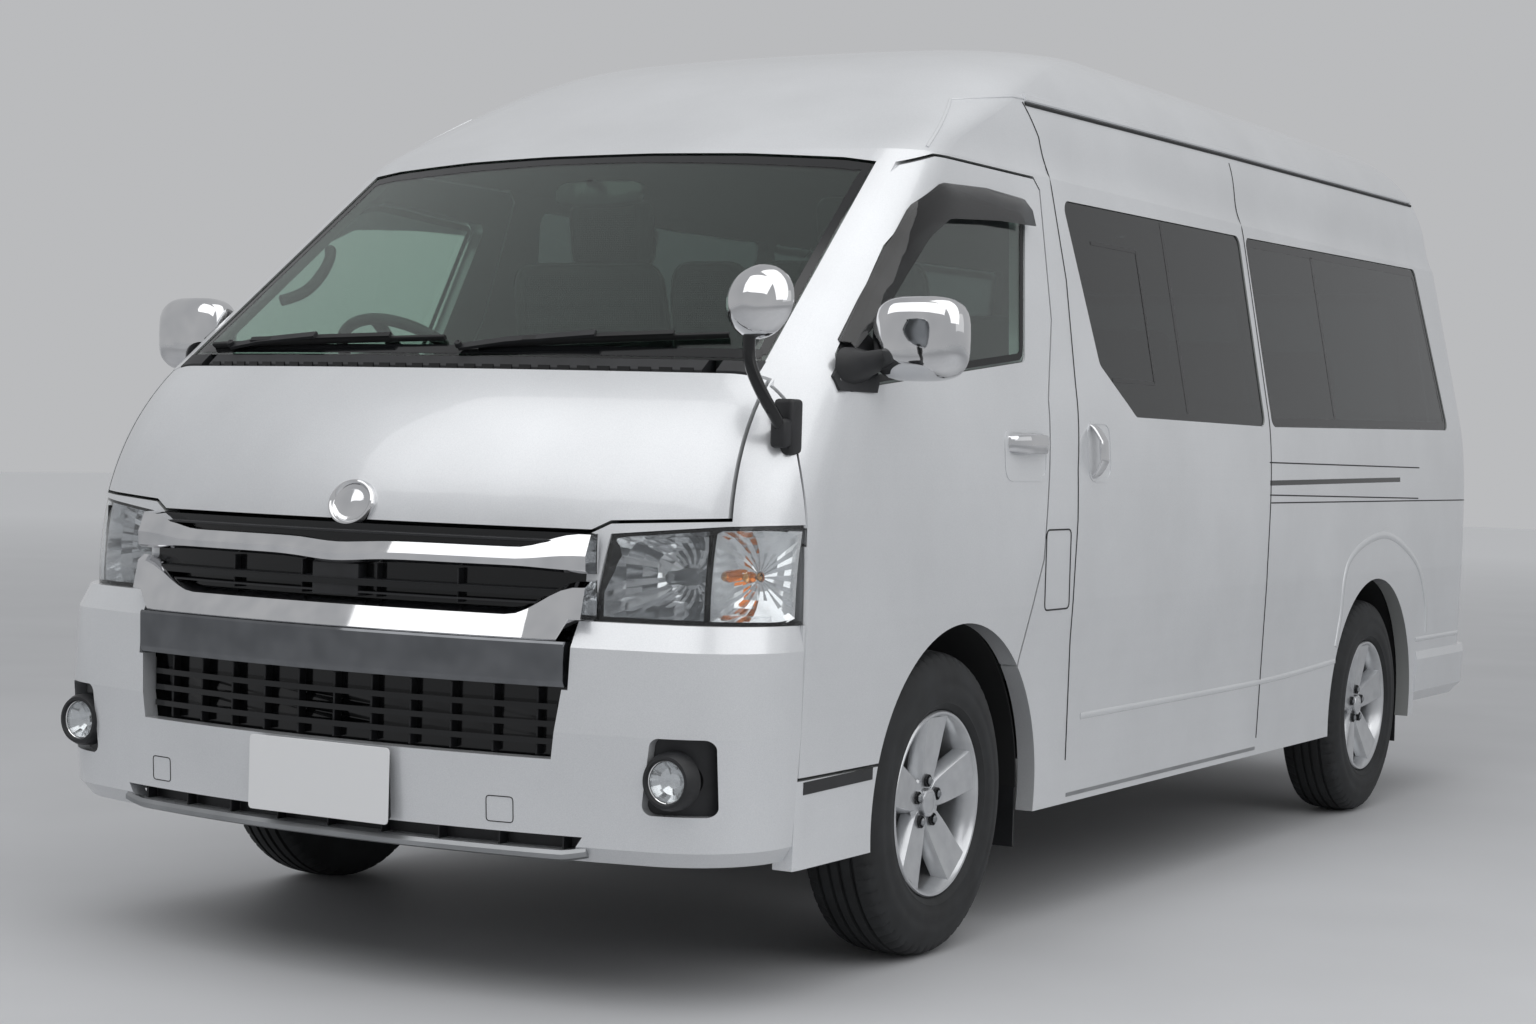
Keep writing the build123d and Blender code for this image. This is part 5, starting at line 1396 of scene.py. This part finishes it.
# %% Front seats
# columns: middle across the van, width
SEAT_PLACES = [(-380, 480), (380, 480), (0, 240)]
BACK_TILT, BASE_TILT, HEADREST_TILT = -13, 88, -8
HEADREST_SIZE, HEADREST_CORNER = (258, 88, 172), 50.0
POST_PROFILE = [(0, 0.01), (0, 5), (90, 5), (90, 0.01)]
POST_APART = 60
pads, welts, posts, shells = bmesh.new(), bmesh.new(), bmesh.new(), bmesh.new()
for x, width in SEAT_PLACES:
    # columns: size, place, tilt, channels across the pad
    for size, place, tilt, channels in (
        ((width, 112, 590), (x, -1137, 1318), BACK_TILT, (-0.45, 0.1, 0.55)),
        ((width, 116, 520), (x, -1470, 992), BASE_TILT, (-0.2, 0.35)),
    ):
        add_pad(pads, size, place, tilt, channels)
        add_welt(welts, size, place, tilt)
    if width > HEADREST_SIZE[0]:
        headrest_at = (x, -1082, 1692)
        add_pad(pads, HEADREST_SIZE, headrest_at, HEADREST_TILT, (), 6.0, HEADREST_CORNER)
        add_welt(welts, HEADREST_SIZE, headrest_at, HEADREST_TILT, HEADREST_CORNER)
        for side in (-1, 1):
            turn_profile(posts, POST_PROFILE, 12, (x + side * POST_APART, -1078, 1560), (0, 0.05, 1))
    add_block(shells, (x - width / 2 + 30, x + width / 2 - 30), (-1690, -1200), (905, 936), 10.0, 2)
front_pads = add_piece("front_seat_pads", pads, seat_cloth, "body", "seat_fabric", sharp=70)
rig.padded(front_pads, 0.7)
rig.replaces(front_pads, "front_seats")
add_piece("front_seat_welts", welts, seal_rubber, "body", "seat_fabric")
add_piece("headrest_posts", posts, nut_steel, "body", "chrome")
add_piece("front_seat_pans", shells, cabin_plastic, "body", "black_plastic")

# %% Rear benches
BENCH_Y = (-300, 450, 1200, 1950)
BENCH_SEAT_X = (-413, 0, 413)
FLOOR_Z = 641
BENCH_FRAME_Z = (948, 968)
BENCH_LEG_Z = (FLOOR_Z, 950)
bench_pads, frames = bmesh.new(), bmesh.new()
for y in BENCH_Y:
    for x in BENCH_SEAT_X:
        add_pad(bench_pads, (404, 96, 470), (x, y + 20, 1288), -13, (-0.3, 0.3), 9.0, 60.0)
        add_pad(bench_pads, (404, 100, 430), (x, y - 232, 1020), 88, (0.1,), 8.0, 60.0)
    add_block(frames, (-600, 600), (y - 420, y + 10), BENCH_FRAME_Z, 8.0, 2)
    for x in (-485, 485):
        for leg_y in (y - 370, y - 30):
            add_block(frames, (x - 18, x + 18), (leg_y - 18, leg_y + 18), BENCH_LEG_Z, 5.0, 2)
        add_block(frames, (x - 24, x + 24), (y - 410, y + 6), (FLOOR_Z, FLOOR_Z + 15), 4.0, 1)
rear_pads = add_piece("rear_bench_pads", bench_pads, seat_cloth, "body", "seat_fabric", sharp=70)
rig.padded(rear_pads, 0.7)
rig.replaces(rear_pads, "rear_benches")
add_piece("rear_bench_frames", frames, chassis_black, "body", "chassis_black")

# %% [markdown]
# ## Cab
# A steering wheel is one grip ring with three spokes and a pad. The dashboard's hood, vents and screen
# surround, the mirror under the roof's edge and the grab handle on the far pillar are plastic mouldings.

# %% Steering wheel
COLUMN_TILT = Vector((0, 0.62, 0.78)).normalized()
RING_MIDDLE = Vector((-370, -2040, 1180)) + COLUMN_TILT * 153
RING_R, GRIP_R = 178, 14
PAD_PROFILE = [(-40, 62), (4, 62), (16, 52), (20, 0.01)]
COLUMN_PROFILE = [(-180, 0.01), (-180, 24), (-60, 26), (-38, 50)]
# columns: distance from the middle, half width, half depth
ARM_ROWS = [(50, 24, 10), (110, 17, 8), (172, 20, 8)]
wheel = bmesh.new()
ring_profile = [(GRIP_R * sin(k * pi / 6), RING_R + GRIP_R * cos(k * pi / 6)) for k in range(12)]
turn_profile(wheel, ring_profile, 64, RING_MIDDLE, COLUMN_TILT, ACROSS, closed=True)
turn_profile(wheel, PAD_PROFILE, 40, RING_MIDDLE, COLUMN_TILT, ACROSS)
turn_profile(wheel, COLUMN_PROFILE, 32, RING_MIDDLE, COLUMN_TILT, ACROSS)
for reach in (Vector(ACROSS), -Vector(ACROSS), -COLUMN_TILT.cross(Vector(ACROSS))):
    wide = COLUMN_TILT.cross(reach)
    rings = []
    for r, half, deep in ARM_ROWS:
        start = RING_MIDDLE + reach * r
        rings.append([start + wide * a * half + COLUMN_TILT * b * deep for a, b in squircle(2, 2, 16, 3)])
    loft_rings(wheel, rings)
hand_wheel = add_piece("steering_wheel_dressed", wheel, cabin_plastic, "body", "black_plastic", sharp=45)
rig.replaces(hand_wheel, "steering_wheel")

# %% Dashboard fittings, mirror and grab handle
HOOD_Y, HOOD_Z = -2110, 1226
# columns: place across the van, half depth, height
HOOD_ROWS = [
    (-560, 3, 2), (-548, 60, 26), (-500, 74, 44), (-370, 78, 52), (-240, 74, 44), (-192, 60, 26), (-180, 3, 2),
]
VENT_X = (-690, -60, 60, 690)
VENT_PROFILE = [(0, 52), (14, 52), (16, 44), (10, 40), (10, 0.01)]
# columns: place along Y, share of the full outline
INNER_MIRROR_RINGS = [(-16, 0.5), (-14, 0.8), (-6, 0.97), (4, 1.0), (10, 0.97), (11, 0.9)]
INNER_MIRROR_OUTLINE = squircle(250, 66)
GRAB_HANDLE = [
    (742, -1985, 1460), (722, -1950, 1472), (712, -1905, 1500), (706, -1865, 1545), (712, -1838, 1580),
    (728, -1822, 1596),
]
GRAB_HANDLE_R = 14
fittings = bmesh.new()
arch = [(cos(k * pi / 10), sin(k * pi / 10)) for k in range(11)]
hood_rings = [[(x, HOOD_Y - half * a, HOOD_Z + rise * b) for a, b in arch] for x, half, rise in HOOD_ROWS]
loft_rings(fittings, hood_rings)
add_block(fittings, (-130, 130), (-2004, -1962), (1128, 1232), 10.0, 3)
for x in VENT_X:
    turn_profile(fittings, VENT_PROFILE, 32, (x, -1984, 1196), (0, 0.93, -0.35), ACROSS)
add_block(fittings, (200, 620), (-2030, -1972), (1090, 1150), 12.0, 3)
add_piece("dashboard_fittings", fittings, cabin_plastic, "body", "black_plastic")
inner = bmesh.new()
rings = []
for along, share in INNER_MIRROR_RINGS:
    y = -1752 + along
    rings.append([(30 + a * share, y + b * 0.15, 1726 + b * share) for a, b in INNER_MIRROR_OUTLINE])
loft_rings(inner, rings)
add_block(inner, (22, 38), (-1800, -1752), (1738, 1756), 5.0, 2)
add_piece("cabin_mirror", inner, gloss_black, "body", "black_plastic")
for label, side in (("right", -1), ("left", 1)):
    path = [(side * x, y, z) for x, y, z in GRAB_HANDLE]
    add_tube(f"pillar_grab_handle_{label}", path, GRAB_HANDLE_R, cabin_plastic, "body", "black_plastic")

# %% [markdown]
# ## Lower body
# The pressings have a soft crease along the sills and a rolled lip round each arch. They are one or two
# millimetres high, so each is a low rounded strip that follows the skin. A black step strip lies over the
# front bumper's corner.

# %% Creases and lips
REAR_LIP = [(1090, 560), (1120, 643), (1190, 831), (1549, 905), (1896, 814), (2039, 672), (2060, 560)]
SILL_CREASE = [(-896, 491), (409, 493), (1090, 515)]
TAIL_CREASE = [(1946, 540), (2463, 540)]
STEP_STRIP = [(-2290, 447), (-1992, 451)]
SILL_TRIM = [(-960, 300), (390, 300)]
PATH_STEPS = 8


def smooth_path(points):
    """A smooth line through the points by Catmull-Rom pieces."""
    line = [Vector(points[0])] + [Vector(point) for point in points] + [Vector(points[-1])]
    result = []
    for k in range(1, len(line) - 2):
        p0, p1, p2, p3 = line[k - 1 : k + 3]
        slope, bend, twist = p2 - p0, 2 * p0 - 5 * p1 + 4 * p2 - p3, 3 * p1 - p0 - 3 * p2 + p3
        for i in range(PATH_STEPS):
            t = i / PATH_STEPS
            result.append(0.5 * ((2 * p1) + slope * t + bend * t**2 + twist * t**3))
    result.append(line[-1])
    return [(point.x, point.y) for point in result]


for label, (side, cast, door) in SIDES.items():
    ridges = strips(
        cast,
        (smooth_path(REAR_LIP), 12, -2.0, 2.4, 30.0, 2.2),
        (smooth_path(TAIL_CREASE), 8, -2.0, 2.4, 30.0, 2.2),
        (smooth_path(SILL_CREASE), 8, -2.0, 1.8, 30.0, 1.7),
    )
    add_piece(f"body_creases_{label}", ridges, body_paint, "body", "paint", sharp=60)
    step_strip = strips(cast, (STEP_STRIP, 13, -2.0, 1.2, 20.0))
    add_piece(f"step_strip_{label}", step_strip, black_plastic, "body", "black_plastic")
sill_trim = strips(from_left, (SILL_TRIM, 5, -1.5, 1.5, 40.0, 1.0))
add_piece("sliding_door_sill_trim", sill_trim, satin_bar, "body", "chrome")

# %% [markdown]
# ## Back of the van
# The photo doesn't show the back. It has what such a van has there: a handle bar over a bare plate recess,
# a wiper, a high stop lamp, two-part lamps and a black tread strip on the bumper.

# %% Tailgate fittings
HANDLE_BAR = [(x, 905) for x in range(-300, 301, 50)]
REAR_RECESS = [(-190, 660), (190, 660), (190, 862), (-190, 862)]
STOP_LAMP = [(-130, 1828), (130, 1828)]
REAR_PIVOT, REAR_PIVOT_PROFILE = (0, 1205), [(-12, 22), (8, 22), (14, 15), (15, 0.01)]
REAR_ARM, REAR_ARM_SECTION = [REAR_PIVOT, (-180, 1262), (-330, 1290)], [(-7, -3), (-7, 3), (7, 3), (7, -3)]
REAR_BLADE, REAR_BLADE_SECTION = [(-480, 1300), (-130, 1285)], [(-3, -5), (-5, 3), (5, 3), (3, -5)]
REAR_GLASS = [(-684, 1256), (684, 1256), (634, 1754), (-634, 1754)]
TREAD_PITCH, TREAD_HALF = 42, 17
TREAD_Y, TREAD_Z = (2632, 2660), (496, 500.5)
LENS_X = (822, 905)
# columns: piece, height of its middle, half height, finish
LENS_ROWS = [("reverse_lens", 812, 44, lens_clear), ("signal_lens", 912, 40, bulb_amber)]
handle = strips(from_rear, (HANDLE_BAR, 24, -2, 14, 40.0, 8))
add_piece("tailgate_handle_bar", handle, chrome, "tailgate", "chrome", sharp=50)
recess = bmesh.new()
band_round(recess, outline_2d(REAR_RECESS, 18), from_rear, 12, 2.5, 3.0)
add_piece("rear_plate_recess_bare", recess, black_plastic, "tailgate", "black_plastic")
stop = strips(from_rear, (STOP_LAMP, 11, -2, 9, 20.0, 4))
add_piece("high_stop_lamp", stop, lens_red, "tailgate", "red_lens")
rear_wiper = turned(REAR_PIVOT_PROFILE, 24, from_rear(*REAR_PIVOT, 10), BACKWARD, ACROSS)
sweep_section(rear_wiper, skin_line(REAR_ARM, from_rear, 16, 20), REAR_ARM_SECTION, BACKWARD)
sweep_section(rear_wiper, skin_line(REAR_BLADE, from_rear, 9, 20), REAR_BLADE_SECTION, BACKWARD)
add_piece("rear_wiper", rear_wiper, black_plastic, "tailgate", "black_plastic")
glass_band = bmesh.new()
band_round(glass_band, outline_2d(REAR_GLASS, 40), from_rear, 30, 0.5)
add_piece("tailgate_glass_band", glass_band, gloss_black, "tailgate", "dark_glass")
tread = bmesh.new()
for k in range(-14, 15):
    middle = k * TREAD_PITCH
    add_block(tread, (middle - TREAD_HALF, middle + TREAD_HALF), TREAD_Y, TREAD_Z, 1.0, 1)
add_piece("rear_step_tread", tread, black_plastic, "body", "black_plastic")
lamp_skin = skin_of("tail_lamps")


def from_lamp(side):
    """A cast on the tail lamp of one side."""

    def cast(x, z, proud=0.0):
        return on_skin(lamp_skin, (side * x, BEYOND, z), (0, -1, 0), proud)

    return cast


for label, (side, _, _) in SIDES.items():
    for name, z, half, finish in LENS_ROWS:
        window = strips(from_lamp(side), ([(x, z) for x in LENS_X], half, -1, 1.5, 10.0, 1))
        add_piece(f"{name}_{label}", window, finish, "body", "lamp_lens")

# %% [markdown]
# ## Roof crown
# The real high roof is one taut painted moulding. This skin is stretched over the high points of the CAD
# roof's middle, smoothed, and sinks just under the CAD surface all round its edge, so the two read as one
# crown.

# %% Crown over the middle of the roof
CROWN_HALF = 580
CROWN_FRONT = -440
CROWN_BACK = 2340
CROWN_STEP = 20
CROWN_T = 4
CROWN_SINK = 1.5
CROWN_CLEARANCE = 0.6
CROWN_SMOOTHING = 25
CROWN_SIDE_FADE = 170
CROWN_FRONT_FADE = 240
CROWN_BACK_FADE = 130
HULL_DEPTH = 400
roof_skin = skin_of("roof")
crown_xs = [CROWN_STEP * k for k in range(-CROWN_HALF // CROWN_STEP, CROWN_HALF // CROWN_STEP + 1)]
crown_ys = [CROWN_FRONT + CROWN_STEP * k for k in range((CROWN_BACK - CROWN_FRONT) // CROWN_STEP + 1)]


def heights_over(skin):
    """The heights of a skin under the crown's grid."""
    rows = []
    for y in crown_ys:
        hits = [skin.ray_cast(Vector((x, y, OVERHEAD)), Vector((0, 0, -1)))[0] for x in crown_xs]
        rows.append([hit.z for hit in hits])
    return rows


def stretched(heights):
    """The skin of a cloth pulled tight over the heights, as heights on the same grid."""
    hull = bmesh.new()
    for y, row in zip(crown_ys, heights):
        for x, z in zip(crown_xs, row):
            hull.verts.new((x, y, z))
    # four corners lower down, a little wider, close the hull under the grid
    low = min(min(row) for row in heights) - HULL_DEPTH
    for x in (crown_xs[0] - 1, crown_xs[-1] + 1):
        for y in (crown_ys[0] - 1, crown_ys[-1] + 1):
            hull.verts.new((x, y, low))
    made = bmesh.ops.convex_hull(hull, input=list(hull.verts), use_existing_faces=False)
    inside = [part for part in made["geom_interior"] if isinstance(part, bmesh.types.BMVert)]
    bmesh.ops.delete(hull, geom=inside, context="VERTS")
    bmesh.ops.triangulate(hull, faces=list(hull.faces))
    tight = BVHTree.FromBMesh(hull)
    hull.free()
    return heights_over(tight)


def smoothed(heights, times):
    """Each height inside the grid becomes the mean of its four neighbours, several times over."""
    rows = [list(row) for row in heights]
    for _ in range(times):
        rows = [rows[0]] + [
            [here[0]]
            + [(here[k - 1] + here[k + 1] + above[k] + below[k]) / 4 for k in range(1, len(here) - 1)]
            + [here[-1]]
            for above, here, below in zip(rows, rows[1:], rows[2:])
        ] + [rows[-1]]
    return rows


cad_heights = heights_over(roof_skin)
taut = smoothed(stretched(cad_heights), CROWN_SMOOTHING)
crown_rows = []
fades = []
for y in crown_ys:
    front_fade = ease(y, CROWN_FRONT, CROWN_FRONT + CROWN_FRONT_FADE)
    along = front_fade * ease(-y, -CROWN_BACK, CROWN_BACK_FADE - CROWN_BACK)
    fades.append([along * ease(CROWN_HALF - abs(x), 0, CROWN_SIDE_FADE) for x in crown_xs])
crown_lift = max(
    under - over
    for low_row, high_row, fade_row in zip(cad_heights, taut, fades)
    for under, over, fade in zip(low_row, high_row, fade_row)
    if fade > 0.99
)
for y, low_row, high_row, fade_row in zip(crown_ys, cad_heights, taut, fades):
    heights = [
        (1 - fade) * (under - CROWN_SINK) + fade * (over + crown_lift + CROWN_CLEARANCE)
        for under, over, fade in zip(low_row, high_row, fade_row)
    ]
    crown_rows.append([(x, y, z) for x, z in zip(crown_xs, heights)])
crown_height = max(z for row in crown_rows for _, _, z in row)
print("roof crown lifted by", round(crown_lift, 1), "mm to", round(crown_height, 1))
crown = bmesh.new()
crown_verts = [[crown.verts.new(point) for point in row] for row in crown_rows]
for near, far in zip(crown_verts, crown_verts[1:]):
    for k in range(len(near) - 1):
        crown.faces.new((near[k], near[k + 1], far[k + 1], far[k]))
crown_made = bmesh.ops.extrude_face_region(crown, geom=list(crown.faces))
crown_top = {part for part in crown_made["geom"] if isinstance(part, bmesh.types.BMVert)}
bmesh.ops.translate(crown, vec=(0, 0, -CROWN_T), verts=[vert for vert in crown.verts if vert not in crown_top])
add_piece("roof_crown", crown, body_paint, "body", "paint")

# %% [markdown]
# ## Studio
# A pale floor, a wide soft light overhead, a strong one in front and a weak one on the left give the long
# soft highlights of a studio picture. The world is pale grey, so chrome and glass have something even to
# show.

# %% Floor, lights and world
FLOOR_M = 80
FLOOR_FADE_M = (5.0, 26.0)
AIM_M = (0, 0, 0.9)
WORLD_STRENGTH = 0.84
# columns: name, place in metres, size across, size along, watts
LAMPS = [
    ("light_above", (3.1, -1.6, 5.6), 5.0, 10.0, 170.0),
    ("light_left", (9.0, 0.5, 4.2), 9.0, 4.0, 35.0),
    ("light_front", (-0.6, -5.8, 6.9), 8.5, 6.0, 190.0),
]


def make_studio():
    material, tree, shader, place = start_finish("pale_studio_floor", {"Roughness": 0.55})
    cloud = grain(tree, place, 900.0, 2.0)
    near = two_tones(tree, cloud, "#C0C1C3", "#C6C7C9", 0.3, 0.7)
    reach = add_node(tree, "ShaderNodeVectorMath", {"operation": "LENGTH"}, {0: place}).outputs["Value"]
    near_m, far_m = FLOOR_FADE_M
    spread = add_node(tree, "ShaderNodeMapRange", {"From Min": near_m, "From Max": far_m}, {"Value": reach})
    fade = add_node(tree, "ShaderNodeMix", {"data_type": "RGBA"})
    tree.links.new(spread.outputs["Result"], fade.inputs[0])
    tree.links.new(near, fade.inputs[6])
    fade.inputs[7].default_value = linear("#F6F7F8")
    tree.links.new(fade.outputs[2], shader.inputs["Base Color"])
    bpy.ops.mesh.primitive_plane_add(size=FLOOR_M, location=(0, 0, 0))
    floor = bpy.context.object
    floor.name = "studio_floor"
    floor.data.materials.append(material)
    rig.stage(floor)
    for name, spot, width, length, power in LAMPS:
        lamp = bpy.data.lights.new(name, "AREA")
        lamp.shape = "RECTANGLE"
        lamp.size = width
        lamp.size_y = length
        lamp.energy = power
        holder = bpy.data.objects.new(name, lamp)
        holder.location = spot
        aim = Vector(AIM_M) - Vector(spot)
        holder.rotation_euler = aim.to_track_quat("-Z", "Y").to_euler()
        scene.collection.objects.link(holder)
    world = bpy.data.worlds.new("studio_world")
    world.use_nodes = True
    background = world.node_tree.nodes["Background"]
    background.inputs["Color"].default_value = linear("#C9CACC")
    background.inputs["Strength"].default_value = WORLD_STRENGTH
    scene.world = world


make_studio()

# %% [markdown]
# ## Camera
# The picture was taken from in front of the van's left corner, a little over a metre above the ground. Its
# place and turn were found by fitting the van's known lines, and the lens follows from a 36 mm wide sensor.

# %% Camera at the photograph's angle
CAMERA_PLACE = (3556.9, -6955.1, 1151.7)
CAMERA_YAW = radians(30.30)
CAMERA_DIP = radians(1.525)
CAMERA_ROLL = radians(1.67)
CAMERA_LENS = 61.75


def make_camera():
    ahead = Vector((-sin(CAMERA_YAW) * cos(CAMERA_DIP), cos(CAMERA_YAW) * cos(CAMERA_DIP), -sin(CAMERA_DIP)))
    level = Vector((cos(CAMERA_YAW), sin(CAMERA_YAW), 0))
    upright = level.cross(ahead)
    right = level * cos(CAMERA_ROLL) + upright * sin(CAMERA_ROLL)
    up = -level * sin(CAMERA_ROLL) + upright * cos(CAMERA_ROLL)
    lens = bpy.data.cameras.new("photo_camera")
    lens.lens = CAMERA_LENS
    lens.sensor_width = 36.0
    lens.clip_end = 200.0
    holder = bpy.data.objects.new("photo_camera", lens)
    turn = Matrix((right, up, -ahead)).transposed().to_4x4()
    holder.matrix_world = Matrix.Translation(Vector(CAMERA_PLACE) * MM) @ turn
    scene.collection.objects.link(holder)
    scene.camera = holder


make_camera()

# %% Sizes and the end
with open("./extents.json", "w") as note:
    sizes = {"cad": cad_box, "visual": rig.bounds()}
    json.dump(sizes, note, default=lambda value: [float(number) for number in value])
